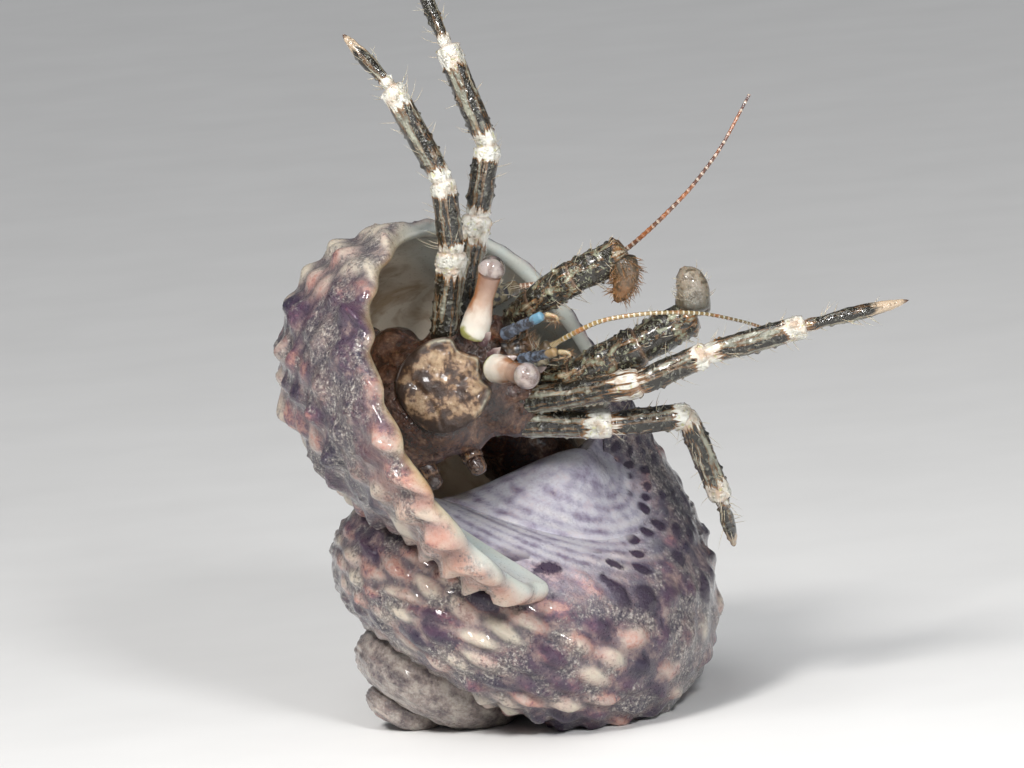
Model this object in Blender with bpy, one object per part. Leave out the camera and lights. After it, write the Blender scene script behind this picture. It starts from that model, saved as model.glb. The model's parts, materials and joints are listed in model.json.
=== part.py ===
"""Hermit crab in a beaded turban shell, life size, as one still model.

Metres, +Z up. The world origin is the middle of the largest worn flat the shell rests on.
Sizes below are in millimetres and are scaled once, when a mesh is made.
The shell is drawn in its own frame (axis = Z, tip at the origin, mouth at negative Z);
the crab is drawn in its own frame (x forward, y to its left, z out of its back).
"""
import math

import bmesh
import bpy
from mathutils import Matrix, Vector

MM = 0.001
OBJECT = "hermit_crab"

# ---- shell: one coiled cone that grows by the same factor each turn
GROWTH = 2.115           # size gained in one turn
COIL = 3.494             # axis to tube centre, at the mouth
DROP = 7.401             # tip to tube centre along the axis, at the mouth
TUBE = 3.38              # half width of the tube, at the mouth
TUBE_FLAT = 0.854        # tube height over tube width
TUBE_TILT = math.radians(27.3)
HUG = 0.18               # how far the tube swells to meet the turn above it
HUG_AT = math.radians(84)
WALL = 0.42              # shell wall, at the mouth
CALLUS = 0.10            # glaze laid over the former turn inside the mouth
CORD_HIGH = 0.14         # height of the spiral cords over the grooves
LIP_LEAN = (math.radians(-27.3), math.radians(-46.9))   # mouth plane: outward, tipward
LIP_AHEAD = 0.98         # mouth plane ahead of the last full section
CORDS_FROM, CORDS_TO = math.radians(-82), math.radians(112)
CORD_COUNT = 12
CAVITY_TURNS = 1.3
LAP = 0.025              # turns by which the lengths of the coil overlap
LAPPED = ("middle", "body", "mouth")
SHELL_HEADING, SHELL_LEAN, SHELL_TURN = (math.radians(v) for v in (174.07, 139.14, 165.78))
SHELL_AT = Vector((-5.024, 0.389, -0.174))

# ---- crab
CRAB_YAW, CRAB_PITCH, CRAB_ROLL = (math.radians(v) for v in (5.16, -32.64, 80.49))
CRAB_AT = Vector((-2.943, -2.448, 7.480))
SIDES = 8                # facets round a limb
JOINT_GAP = 0.05         # clear space at each joint
ROUNDING = ((0.0, 0.60), (0.22, 0.90))   # limb ends: (setback, half width) over radius
FEELER = 0.25            # half thickness of a feeler in the solids
CORNEA = 0.27

COLOURS = {
    "shell_wall": (0.47, 0.33, 0.28), "shield_plate": (0.28, 0.17, 0.09),
    "soft_skin": (0.30, 0.19, 0.13), "leg_plate": (0.055, 0.050, 0.032),
    "claw_plate": (0.075, 0.065, 0.040), "claw_finger": (0.33, 0.24, 0.15),
    "eyestalk_skin": (0.52, 0.38, 0.29), "cornea": (0.30, 0.24, 0.24),
    "feeler": (0.30, 0.23, 0.10), "head_skin": (0.10, 0.14, 0.20),
}

SHELL_FRAME = (Matrix.Translation(SHELL_AT) @ Matrix.Rotation(SHELL_HEADING, 4, "Z")
               @ Matrix.Rotation(SHELL_LEAN, 4, "Y") @ Matrix.Rotation(SHELL_TURN, 4, "Z"))
CRAB_FRAME = (Matrix.Translation(CRAB_AT) @ Matrix.Rotation(CRAB_YAW, 4, "Z")
              @ Matrix.Rotation(CRAB_PITCH, 4, "Y") @ Matrix.Rotation(CRAB_ROLL, 4, "X"))


# ------------------------------------------------------------------ scene helpers
def clear_scene():
    for obj in list(bpy.data.objects):
        bpy.data.objects.remove(obj)


def new_collection(name):
    group = bpy.data.collections.new(name)
    bpy.context.scene.collection.children.link(group)
    return group


def material(slot):
    found = bpy.data.materials.get(slot)
    if found:
        return found
    made = bpy.data.materials.new(slot)
    made.use_nodes = True
    shader = made.node_tree.nodes["Principled BSDF"]
    shader.inputs["Base Color"].default_value = (*COLOURS[slot], 1.0)
    shader.inputs["Roughness"].default_value = 0.35
    made.diffuse_color = (*COLOURS[slot], 1.0)
    return made


def loft(name, rings, slot, group):
    """Closed body through rings of equal point count, given in world millimetres."""
    count = len(rings[0])
    verts = [point * MM for ring in rings for point in ring]
    faces = []
    for row in range(len(rings) - 1):
        for k in range(count):
            a, b = row * count + k, row * count + (k + 1) % count
            faces.append((a, b, b + count, a + count))
    faces.append(tuple(reversed(range(count))))
    faces.append(tuple(range(len(verts) - count, len(verts))))
    mesh = bpy.data.meshes.new(name)
    mesh.from_pydata(verts, [], faces)
    body = bmesh.new()
    body.from_mesh(mesh)
    bmesh.ops.recalc_face_normals(body, faces=body.faces[:])
    body.to_mesh(mesh)
    body.free()
    mesh.materials.append(material(slot))
    obj = bpy.data.objects.new(name, mesh)
    group.objects.link(obj)
    return obj


def combine(target, tool, operation, cutters, lapped=False):
    """Boolean of one body with another, baked into the first."""
    for group in list(tool.users_collection):
        group.objects.unlink(tool)
    cutters.objects.link(tool)
    tool.hide_render = True
    tool.display_type = "WIRE"
    step = target.modifiers.new(operation.lower(), "BOOLEAN")
    step.operation = operation
    step.solver = "EXACT"
    step.use_self = lapped
    step.object = tool
    graph = bpy.context.evaluated_depsgraph_get()
    graph.update()
    mesh = bpy.data.meshes.new_from_object(target.evaluated_get(graph))
    target.modifiers.clear()
    body = bmesh.new()
    body.from_mesh(mesh)
    bmesh.ops.remove_doubles(body, verts=body.verts[:], dist=0.001 * MM)
    bmesh.ops.dissolve_degenerate(body, edges=body.edges[:], dist=0.001 * MM)
    body.to_mesh(mesh)
    body.free()
    target.data = mesh
    bpy.data.objects.remove(tool)


# ------------------------------------------------------------------ shell
def swell(phi):
    return 1 + HUG * max(0.0, math.cos(phi - HUG_AT)) ** 4


def section(phi, half, hug=True):
    """Point of the tube section, as (outward, tipward) from the tube centre."""
    half *= swell(phi) if hug else 1.0
    wide, high = half * math.cos(phi), half * TUBE_FLAT * math.sin(phi)
    cos, sin = math.cos(TUBE_TILT), math.sin(TUBE_TILT)
    return wide * cos - high * sin, wide * sin + high * cos


def coil_point(turn, out, tip):
    """World point of a section offset after this many turns (the mouth is turn 0)."""
    size = GROWTH ** turn
    angle = -2 * math.pi * turn
    reach = (COIL + out) * size
    local = Vector((reach * math.cos(angle), reach * math.sin(angle), (tip - DROP) * size))
    return SHELL_FRAME @ local


def round_angles():
    """Angles round the tube: two per cord on the outside, wide steps on the hidden side."""
    step = (CORDS_TO - CORDS_FROM) / (2 * CORD_COUNT - 1)
    corded = [CORDS_FROM + step * k for k in range(2 * CORD_COUNT)]
    rest = 2 * math.pi - (CORDS_TO - CORDS_FROM)
    plain = [CORDS_TO + rest * (k + 1) / 8 for k in range(7)]
    return corded + plain


def outside(k, corded):
    """Half width of the tube at angle number k; even numbers are the cord crests."""
    crest = corded and k < 2 * CORD_COUNT and k % 2 == 0
    return TUBE + (CORD_HIGH if crest else 0.0)


def mouth_normal():
    rate = math.log(GROWTH) / (2 * math.pi)
    ahead = Vector((COIL * rate, -COIL, -DROP * rate)).normalized()
    outward = Vector((1, 0, 0))
    outward = (outward - ahead * outward.dot(ahead)).normalized()
    across = ahead.cross(outward)
    lean = ahead + outward * math.tan(LIP_LEAN[0]) + across * math.tan(LIP_LEAN[1])
    return lean.normalized()


def lip_turn(out, tip):
    """How many turns on the mouth plane cuts the line of growth of this offset."""
    normal, centre = mouth_normal(), Vector((COIL, 0, -DROP))

    def past(turn):
        size, angle = GROWTH ** turn, -2 * math.pi * turn
        reach = (COIL + out) * size
        local = Vector((reach * math.cos(angle), reach * math.sin(angle), (tip - DROP) * size))
        return (local - centre).dot(normal) - LIP_AHEAD

    low, high = -0.40, 0.45
    for _ in range(30):
        middle = (low + high) / 2
        if past(middle) > 0:
            high = middle
        else:
            low = middle
    return low


def turn_piece(name, start, stop, steps, shrink, corded, group):
    """Solid length of the coiled tube, begun a little early so that it laps the last one.

    stop None ends it on the mouth plane.
    """
    angles = round_angles() if corded else [2 * math.pi * k / 14 for k in range(14)]
    offsets = [section(phi, outside(k, corded) * shrink) for k, phi in enumerate(angles)]
    ends = [lip_turn(*section(phi, TUBE, hug=False)) if stop is None else stop
            for phi in angles]
    rings = [[coil_point(start - LAP, *offset) for offset in offsets]]
    for row in range(steps + 1):
        share = row / steps
        rings.append([coil_point(start + (end - start) * share, *offset)
                      for offset, end in zip(offsets, ends)])
    return loft(name, rings, "shell_wall", group)


def cavity_offsets(count):
    """Section of the hollow: the tube less its wall, kept clear of the former turn."""
    away = Vector((COIL, -DROP)) * (1 - 1 / GROWTH)
    core = away.normalized() * 0.6
    points = []
    for k in range(count):
        angle = 2 * math.pi * k / count
        ray = Vector((math.cos(angle), math.sin(angle)))
        reach = 0.0
        while reach < TUBE * 1.5 and in_hollow(core + ray * reach, away):
            reach += 0.02
        points.append(core + ray * reach)
    return [(p.x, p.y) for p in points]


def in_hollow(point, away):
    def inside(p, half):
        cos, sin = math.cos(TUBE_TILT), math.sin(TUBE_TILT)
        wide, high = p.x * cos + p.y * sin, (-p.x * sin + p.y * cos) / TUBE_FLAT
        return math.hypot(wide, high) < half * swell(math.atan2(high, wide))

    former = (TUBE + CORD_HIGH) / GROWTH + CALLUS
    return inside(point, TUBE - WALL) and not inside(point + away, former)


def build_shell(group, cutters):
    pieces = [("spire", -3.2, -2.4, 12, 0.965, False), ("upper", -2.4, -39 / 24, 12, 0.975, False),
              ("middle", -39 / 24, -1.0, 15, 0.990, True), ("body", -1.0, -10 / 24, 14, 0.995, True),
              ("mouth", -10 / 24, None, 16, 1.0, True)]
    shell = None
    for name, start, stop, steps, shrink, corded in pieces:
        piece = turn_piece(name, start, stop, steps, shrink, corded, group)
        if shell:
            combine(shell, piece, "UNION", cutters, lapped=name in LAPPED)
        else:
            shell = piece
    axis = [[SHELL_FRAME @ Vector((r * math.cos(a), r * math.sin(a), z))
             for a in (2 * math.pi * k / 8 for k in range(8))]
            for z, r in ((-0.9, 0.10), (-DROP * 1.04, 0.72))]
    combine(shell, loft("axis_core", axis, "shell_wall", group), "UNION", cutters)

    offsets = cavity_offsets(16)
    rows = [0.44 - (CAVITY_TURNS + 0.44) * k / 30 for k in range(31)]
    hollow = [[coil_point(turn, *offset) for offset in offsets] for turn in rows]
    combine(shell, loft("hollow", hollow, "shell_wall", group), "DIFFERENCE", cutters)
    worn = [[Vector((x, y, z)) for x, y in ((-12, -12), (12, -12), (12, 12), (-12, 12))]
            for z in (-6, 0)]
    combine(shell, loft("worn_flat", worn, "shell_wall", group), "DIFFERENCE", cutters)
    shell.name = shell.data.name = "shell"
    return shell


# ------------------------------------------------------------------ limbs
def limb(name, start, end, r_start, r_end, slot, group, belly=1.08):
    """Limb length with domed ends, in the crab's frame."""
    a, b = Vector(start), Vector(end)
    along = (b - a).normalized()
    side = along.cross(Vector((0, 0, 1)))
    if side.length < 0.1:
        side = along.cross(Vector((0, 1, 0)))
    side.normalize()
    over = side.cross(along)
    length = (b - a).length
    stations = [(r_start * s, r_start * w) for s, w in ROUNDING]
    for share in (0.30, 0.68):
        radius = (r_start + (r_end - r_start) * share) * belly
        stations.append((length * share, radius))
    stations += [(length - r_end * s, r_end * w) for s, w in reversed(ROUNDING)]
    rings = []
    for at, radius in stations:
        rings.append([CRAB_FRAME @ (a + along * at
                                    + side * radius * math.cos(2 * math.pi * k / SIDES)
                                    + over * radius * math.sin(2 * math.pi * k / SIDES))
                      for k in range(SIDES)])
    return loft(name, rings, slot, group)


def jointed(names, joints, radii, slot, group):
    """Limb lengths end to end, set back at each bend so that neighbours never touch."""
    points = [Vector(j) for j in joints]
    back = [0.0] * len(points)
    for k in range(1, len(points) - 1):
        before = (points[k] - points[k - 1]).normalized()
        after = (points[k + 1] - points[k]).normalized()
        bend = before.angle(after)
        reach = max(w * math.tan(bend / 2) - s for s, w in ROUNDING)
        back[k] = radii[k] * reach + JOINT_GAP / 2
    made = []
    for k, name in enumerate(names):
        along = (points[k + 1] - points[k]).normalized()
        made.append(limb(name, points[k] + along * back[k], points[k + 1] - along * back[k + 1],
                         radii[k], radii[k + 1], slot, group))
    return made


def smooth_path(points, count):
    """Even steps along a Catmull-Rom curve through the points."""
    pts = [Vector(p) for p in points]
    pts = [pts[0] * 2 - pts[1]] + pts + [pts[-1] * 2 - pts[-2]]
    spans = len(pts) - 3
    path = []
    for k in range(count + 1):
        at = min(k / count * spans, spans - 1e-6)
        n, t = int(at), at - int(at)
        p0, p1, p2, p3 = pts[n:n + 4]
        path.append(0.5 * ((2 * p1) + (p2 - p0) * t + (2 * p0 - 5 * p1 + 4 * p2 - p3) * t * t
                           + (3 * p1 - p0 - 3 * p2 + p3) * t ** 3))
    return path


def bent_body(name, path, radii, slot, group, sides=SIDES, high=1.0):
    """Closed body along a bent path, given in world millimetres."""
    rings = []
    over = None
    for k, centre in enumerate(path):
        along = (path[min(k + 1, len(path) - 1)] - path[max(k - 1, 0)]).normalized()
        over = Vector((0, 0, 1)) if over is None else over
        side = along.cross(over).normalized()
        over = side.cross(along)
        rings.append([centre + side * radii[k] * math.cos(2 * math.pi * j / sides)
                      + over * radii[k] * high * math.sin(2 * math.pi * j / sides)
                      for j in range(sides)])
    return loft(name, rings, slot, group)


def build_legs(group):
    """Two long walking legs each side, then the two small pairs that grip the shell."""
    parts = ("merus", "carpus", "propodus", "dactyl")
    legs = {
        "left_leg_2": [(0.60, 0.80, -0.45), (1.65, 1.88, 0.40), (2.37, 3.10, 0.70),
                       (2.71, 5.22, 0.90), (2.60, 6.57, 0.80)],
        "left_leg_3": [(1.12, 0.98, -1.25), (2.50, 2.16, -0.70), (3.53, 3.13, -0.50),
                       (4.10, 5.22, -0.35), (4.53, 6.74, -0.40)],
        "right_leg_2": [(1.30, -1.92, -0.68), (3.02, -2.50, 0.25), (4.41, -2.86, 0.45),
                        (6.30, -3.63, 0.55), (8.19, -4.47, 0.35)],
        "right_leg_3": [(0.52, -2.24, -0.62), (2.05, -2.80, -0.74), (3.35, -3.60, -1.10),
                        (3.30, -5.25, -2.00), (2.65, -6.75, -2.60)],
    }
    radii = (0.27, 0.29, 0.29, 0.27, 0.13)
    for leg, joints in legs.items():
        jointed([f"{leg}_{part}" for part in parts], joints, radii, "leg_plate", group)
    limb("left_leg_4", (-0.45, 1.10, -1.30), (-0.75, 1.75, -1.15), 0.25, 0.25, "leg_plate", group)
    limb("right_leg_4", (-0.50, -1.32, -1.10), (-0.62, -1.95, -0.72), 0.25, 0.25,
         "leg_plate", group)
    limb("left_leg_5", (-1.45, 1.15, -1.70), (-1.75, 1.75, -1.75), 0.25, 0.25, "leg_plate", group)
    limb("right_leg_5", (-1.40, -1.10, -0.95), (-1.50, -1.65, -0.80), 0.25, 0.25,
         "leg_plate", group)


def build_claws(group):
    claws = {
        "left_claw": ([(1.62, 0.00, -1.25), (2.37, 0.08, -0.05), (3.28, -0.02, 0.35),
                       (4.33, -0.26, 0.60)], (0.27, 0.31, 0.34, 0.30),
                      (3.52, -0.72, 0.50)),
        "right_claw": ([(1.00, -1.14, -1.38), (2.06, -1.60, -0.58), (3.47, -1.92, -0.20),
                        (4.62, -2.08, -0.20)], (0.27, 0.33, 0.38, 0.34),
                       (5.00, -1.22, -0.10)),
    }
    for claw, (joints, radii, finger_tip) in claws.items():
        jointed([f"{claw}_merus", f"{claw}_carpus", f"{claw}_palm"], joints, radii,
                "claw_plate", group)
        palm_end = Vector(joints[-1])
        along = (palm_end - Vector(joints[-2])).normalized()
        toward = (Vector(finger_tip) - palm_end).normalized()
        hinge = palm_end - along * radii[-1] * 0.9 + toward * (radii[-1] + 0.29)
        if claw == "right_claw":
            hinge = palm_end - along * radii[-1] + toward * (radii[-1] * 1.08 + 0.12)
        limb(f"{claw}_finger", hinge, finger_tip, 0.27, 0.26, "claw_finger", group)


def build_head(group):
    eyes = {"left": ((1.03, 0.36, 0.30), (2.06, 1.12, 0.85)),
            "right": ((0.92, -0.50, 0.42), (1.30, -0.99, 1.62))}
    for side, (base, tip) in eyes.items():
        a, b = Vector(base), Vector(tip)
        along = (b - a).normalized()
        limb(f"{side}_eyestalk", a, b - along * (CORNEA + JOINT_GAP), 0.26, 0.25,
             "eyestalk_skin", group, belly=0.98)
        stations = [(math.cos(t), math.sin(t)) for t in
                    (math.radians(v) for v in (160, 125, 90, 55, 20))]
        side_way = along.orthogonal().normalized()
        over = side_way.cross(along)
        rings = [[CRAB_FRAME @ (b + along * CORNEA * c
                                + (side_way * math.cos(2 * math.pi * k / SIDES)
                                   + over * math.sin(2 * math.pi * k / SIDES)) * CORNEA * s)
                  for k in range(SIDES)] for c, s in stations]
        loft(f"{side}_cornea", rings, "cornea", group)
    limb("left_antennule", (1.45, -0.06, 0.20), (2.30, -0.24, 0.90), FEELER, FEELER,
         "head_skin", group)
    limb("right_antennule", (1.42, -0.66, 0.22), (2.05, -0.98, 0.98), FEELER, FEELER,
         "head_skin", group)
    limb("left_antenna_base", (1.43, 0.74, -0.38), (2.20, 0.56, -1.04), 0.24, 0.21,
         "head_skin", group)
    limb("right_antenna_base", (1.25, -0.95, -0.42), (2.06, -0.82, 0.02), 0.26, 0.25,
         "head_skin", group)
    limb("left_mouth_leg", (1.12, -0.30, -0.66), (1.74, -0.56, -0.70), 0.25, 0.25,
         "head_skin", group)
    limb("right_mouth_leg", (1.05, -0.58, -1.12), (1.85, -0.72, -1.22), 0.25, 0.25,
         "head_skin", group)
    feelers = {
        "left_antenna": [(2.36, 0.50, -1.17), (3.39, -0.04, -0.92), (4.32, -0.24, -0.40),
                         (5.18, -0.19, 0.20), (6.16, -0.07, 0.40), (7.13, 0.19, 0.50),
                         (8.22, 0.68, 0.30)],
        "right_antenna": [(2.25, -0.84, 0.18), (3.14, -1.01, 0.80), (4.02, -1.52, 1.05),
                          (4.81, -2.13, 0.62), (5.41, -2.83, -0.10), (5.73, -3.29, -0.55)],
    }
    for name, points in feelers.items():
        path = [CRAB_FRAME @ p for p in smooth_path(points, 12)]
        bent_body(name, path, [FEELER] * 13, "feeler", group, sides=6)


def build_body(group):
    """Shield, the skin behind it, the underside, and the soft abdomen in four lengths."""
    stations = ((-1.02, 0.34, -0.12, 0.02), (-0.86, 0.60, -0.24, 0.14), (-0.40, 0.84, -0.34, 0.26),
                (0.15, 0.90, -0.36, 0.28), (0.58, 0.78, -0.30, 0.20), (0.74, 0.40, -0.20, 0.12),
                (0.92, 0.10, -0.10, 0.05))
    rings = []
    for at, half, low, top in stations:
        ring = []
        for k in range(12):
            cos, sin = math.cos(2 * math.pi * k / 12), math.sin(2 * math.pi * k / 12)
            high = sin * (top if sin > 0 else -low)
            ring.append(CRAB_FRAME @ Vector((at, -0.12 + half * cos, high)))
        rings.append(ring)
    loft("shield", rings, "shield_plate", group)
    under = []
    for at, half, high in ((-0.72, 0.35, 0.16), (-0.50, 0.72, 0.30), (0.0, 0.95, 0.38),
                           (0.50, 0.92, 0.36), (0.80, 0.66, 0.26), (0.92, 0.30, 0.14)):
        under.append([CRAB_FRAME @ Vector((at, -0.12 + half * math.cos(2 * math.pi * k / 10),
                                           -0.82 + high * math.sin(2 * math.pi * k / 10)))
                      for k in range(10)])
    loft("thorax", under, "soft_skin", group)
    back = smooth_path([(-1.16, -0.13, -0.42), (-1.50, -0.08, -1.20), (-1.25, 0.05, -2.05)], 6)
    bent_body("carapace_rear", [CRAB_FRAME @ p for p in back],
              (0.20, 0.46, 0.64, 0.72, 0.74, 0.66, 0.36), "soft_skin", group, sides=10)
    core = cavity_offsets(4)
    middle = (sum(p[0] for p in core) / 4, sum(p[1] for p in core) / 4)
    bend = [CRAB_FRAME @ Vector(p) for p in ((-1.00, 0.12, -2.36), (-0.45, 0.25, -3.00))]
    coil = [coil_point(turn, *middle) for turn in (-0.10, -0.20, -0.30, -0.42, -0.54, -0.66, -0.78)]
    path = smooth_path(bend + coil, 32)
    radii = [0.78 + 0.30 * math.sin(math.pi * min(1, k / 16)) if k < 16
             else 1.0 - 0.55 * (k - 16) / 16 for k in range(33)]
    names = (("abdomen_front", 0, 8), ("abdomen_middle", 9, 16), ("abdomen_rear", 17, 24),
             ("abdomen_tip", 25, 31))
    for name, first, last in names:
        lengths = path[first:last + 1]
        sizes = radii[first:last + 1]
        sizes[0] *= 0.72
        sizes[-1] *= 0.72
        bent_body(name, lengths, sizes, "soft_skin", group, sides=10)
    tail = smooth_path([coil_point(t, *middle) for t in (-0.80, -0.84, -0.88)], 3)
    bent_body("tail_fan", tail, (0.26, 0.46, 0.52, 0.34), "shield_plate", group, high=0.6)


def main():
    clear_scene()
    group, cutters = new_collection(OBJECT), new_collection("cutters")
    build_shell(group, cutters)
    build_body(group)
    build_head(group)
    build_claws(group)
    build_legs(group)


main()
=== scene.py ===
# %% [markdown]
# # A hermit crab in a beaded turban shell
# A small shore hermit crab leans out of a worn snail shell; they stand fifteen millimetres tall.
# The solids are already packed: they fix where everything is and how big it is. This lesson grows
# the fine surface round them, one part of the animal at a time: the coiled shell with its rows of
# beads, the soft skin, the shield, the eyes, the feelers, the claws and legs, and last the hairs,
# the floor, the lamps and the camera.

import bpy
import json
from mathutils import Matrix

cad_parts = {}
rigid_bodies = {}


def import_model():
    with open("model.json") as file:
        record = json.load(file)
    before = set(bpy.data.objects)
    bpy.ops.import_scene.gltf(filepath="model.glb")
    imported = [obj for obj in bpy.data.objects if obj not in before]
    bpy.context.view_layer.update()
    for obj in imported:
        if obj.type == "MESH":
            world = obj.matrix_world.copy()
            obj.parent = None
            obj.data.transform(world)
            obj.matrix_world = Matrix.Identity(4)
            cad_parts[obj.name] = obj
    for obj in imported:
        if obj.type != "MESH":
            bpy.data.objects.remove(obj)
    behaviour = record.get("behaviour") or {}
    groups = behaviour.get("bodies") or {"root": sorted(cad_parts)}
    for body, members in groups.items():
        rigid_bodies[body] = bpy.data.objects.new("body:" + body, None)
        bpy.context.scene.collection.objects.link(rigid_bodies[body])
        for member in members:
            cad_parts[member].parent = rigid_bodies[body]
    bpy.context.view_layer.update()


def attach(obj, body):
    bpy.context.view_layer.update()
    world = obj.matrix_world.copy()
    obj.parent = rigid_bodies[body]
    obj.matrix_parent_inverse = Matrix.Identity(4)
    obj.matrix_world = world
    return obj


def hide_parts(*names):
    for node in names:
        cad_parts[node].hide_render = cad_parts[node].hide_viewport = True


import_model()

# %% [markdown]
# ## Working in millimetres
# The animal is so small that metres give awkward numbers, and some of Blender's tools stop working
# below a tenth of a millimetre. Every mesh here is drawn in millimetres and scaled once, when it
# is handed over. Two local frames keep the numbers plain: the shell's, with its axis along Z and
# its tip at the origin, and the crab's, with x forward, y to its left and z out of its back.

# %% Units and the two local frames
import json
import math

import bmesh
import bpy
import numpy as np
from mathutils import Matrix, Vector

MM = 0.001


def turned(place, steps):
    """Placement matrix from a point in mm and turns in degrees, applied last to first."""
    frame_matrix = Matrix.Translation(Vector(place))
    for angle, axis in steps:
        frame_matrix = frame_matrix @ Matrix.Rotation(math.radians(angle), 4, axis)
    return np.array(frame_matrix)


SHELL_FRAME = turned((-5.024, 0.389, -0.174), ((174.07, "Z"), (139.14, "Y"), (165.78, "Z")))
CRAB_FRAME = turned((-2.943, -2.448, 7.480), ((5.16, "Z"), (-32.64, "Y"), (80.49, "X")))


def placed(points, matrix):
    """Points of a local frame, in world millimetres."""
    points = np.asarray(points, float)
    return points @ matrix[:3, :3].T + matrix[:3, 3]


def crab(points):
    return placed(points, CRAB_FRAME)


def unit(vector):
    return np.asarray(vector, float) / np.linalg.norm(vector)


def run_length(path):
    """Distance walked along a path at each of its points."""
    return np.concatenate([[0], np.cumsum(np.linalg.norm(np.diff(path, axis=0), axis=1))])


# %% [markdown]
# ## Noise that is part of the shape
# Worn beads, pits and wrinkles are real relief, so they go into the mesh and not only into a bump
# map. Two small functions are enough. One is a smooth noise on a lattice of random values. The
# other scatters round grains: each lattice cell may hold one dome, placed at random inside the
# cell. Both use whole-number hashing, so every run gives the same result.

# %% Lattice noise and scattered grains
def scramble(cells, seed):
    """Random value from 0 to 1 for each whole-number cell (…, 3)."""
    cells = cells.astype(np.int64)
    mixed = cells[..., 0] * 73856093 ^ cells[..., 1] * 19349663 ^ cells[..., 2] * 83492791
    mixed = (mixed ^ (seed * 2654435761)) & 0xFFFFFFFF
    mixed = ((mixed ^ (mixed >> 15)) * 2246822519) & 0xFFFFFFFF
    mixed = ((mixed ^ (mixed >> 13)) * 3266489917) & 0xFFFFFFFF
    return ((mixed ^ (mixed >> 16)) & 0xFFFFFF) / float(0x1000000)


def ease(value):
    """Smooth step: 0 below 0, 1 above 1, with soft ends."""
    value = np.clip(value, 0.0, 1.0)
    return value * value * (3 - 2 * value)


def noise(points, size, seed=1):
    """Smooth noise from -1 to 1 with features of about this size."""
    spots = np.asarray(points, float) / size
    cell = np.floor(spots)
    inner = ease(spots - cell)
    total = 0.0
    for corner in np.ndindex(2, 2, 2):
        weight = np.prod(np.where(corner, inner, 1 - inner), axis=-1)
        total = total + weight * scramble(cell + corner, seed)
    return total * 2 - 1


def grains(points, size, seed=1, share=0.6, reach=0.42):
    """Height from 0 to 1 of round grains scattered one to a cell."""
    spots = np.asarray(points, float) / size
    cell = np.floor(spots)
    height = np.zeros(spots.shape[:-1])
    for step in np.ndindex(3, 3, 3):
        home = cell + (np.array(step) - 1)
        jitter = np.stack([scramble(home, seed + k) for k in (1, 2, 3)], axis=-1)
        distance = np.linalg.norm(spots - (home + 0.2 + 0.6 * jitter), axis=-1)
        radius = reach * (0.6 + 0.5 * scramble(home, seed + 4))
        dome = np.clip(1 - (distance / radius) ** 2, 0, 1)
        height = np.maximum(height, np.where(scramble(home, seed) < share, dome, 0))
    return height


# %% [markdown]
# ## From a grid of points to a piece
# Almost everything on this animal is a tube of some kind: the coiled shell, a leg, a feeler. A
# tube is a grid of points, row after row round its middle line. One function turns any such grid
# into a closed mesh, with a UV map that counts round and along, and with painted marks, one number
# for each point, which the finishes read later.

# %% Grid to mesh, and handing a piece over
def show(name, data):
    """New object, put in the scene."""
    made = bpy.data.objects.new(name, data)
    bpy.context.scene.collection.objects.link(made)
    return made


def grid_mesh(name, grid, along=None, marks=None, wrap=None):
    """Closed mesh in mm from a grid (rows, columns, 3) that wraps round its columns."""
    rows, columns = grid.shape[:2]
    first = (np.arange(rows - 1)[:, None] * columns + np.arange(columns)).ravel()
    second = (np.arange(rows - 1)[:, None] * columns + (np.arange(columns) + 1) % columns).ravel()
    quads = np.stack([first, second, second + columns, first + columns], axis=1)
    ring = np.arange(columns)
    faces = quads.tolist() + [ring[::-1].tolist(), (ring + (rows - 1) * columns).tolist()]
    corners = grid.reshape(-1, 3)
    a, b, c, d = (corners[quads[:, k]] for k in range(4))
    volume = np.einsum("ij,ij->i", a, np.cross(b, c)).sum() + np.einsum("ij,ij->i", a,
        np.cross(c, d)).sum()
    mesh = bpy.data.meshes.new(name)
    mesh.from_pydata(corners.tolist(), [], faces)
    along = np.arange(rows) / (rows - 1) if along is None else along
    round_at = np.tile(np.arange(columns) / columns, rows - 1)
    low, high = np.repeat(along[:-1], columns), np.repeat(along[1:], columns)
    u = np.stack([round_at, round_at + 1 / columns, round_at + 1 / columns, round_at], axis=1)
    v = np.stack([low, low, high, high], axis=1)
    caps = [np.full((columns, 2), 0.5) * (1, 0) + (0, along[0]), np.full((columns, 2), 0.5) * (1, 0)
        + (0, along[-1])]
    layer = mesh.uv_layers.new(name="Along")
    layer.data.foreach_set("uv", np.concatenate([np.stack([u, v], axis=2).reshape(-1, 2)]
        + caps) .ravel())
    for label, values in (marks or {}).items():
        mark = mesh.attributes.new(label, "FLOAT", "POINT")
        mark.data.foreach_set("value", np.broadcast_to(values,
            (rows, columns)).ravel() .astype(np.float32))
    if wrap is not None:
        mark = mesh.attributes.new("wrap", "FLOAT_VECTOR", "POINT")
        mark.data.foreach_set("vector", wrap.ravel().astype(np.float32))
    mesh.shade_smooth()
    if volume < 0:
        mesh.flip_normals()
    return show(name, mesh)


def hand_over(piece, finish, slot, *nodes):
    """Scales a piece from mm to metres and gives it its finish and place on the body; slot is not used.
    """
    piece.data.transform(Matrix.Scale(MM, 4))
    piece.data.materials.clear()
    piece.data.materials.append(finish)
    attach(piece, "root")
    if nodes:
        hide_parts(*nodes)
    print(piece.name, len(piece.data.polygons), "faces")
    return piece


# %% [markdown]
# ## Building finishes
# Every finish is a small graph of nodes round one Principled shader. Wet shell and wet armour
# share most of it: a base colour, a fairly low roughness, a clear coat for the water film and a
# fine bump. These helpers keep each finish readable. Sizes in them are in millimetres.

# %% Helpers for node graphs
class Bench:
    """The finish being built; every helper below adds its nodes to this tree."""
    tree = None


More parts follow.
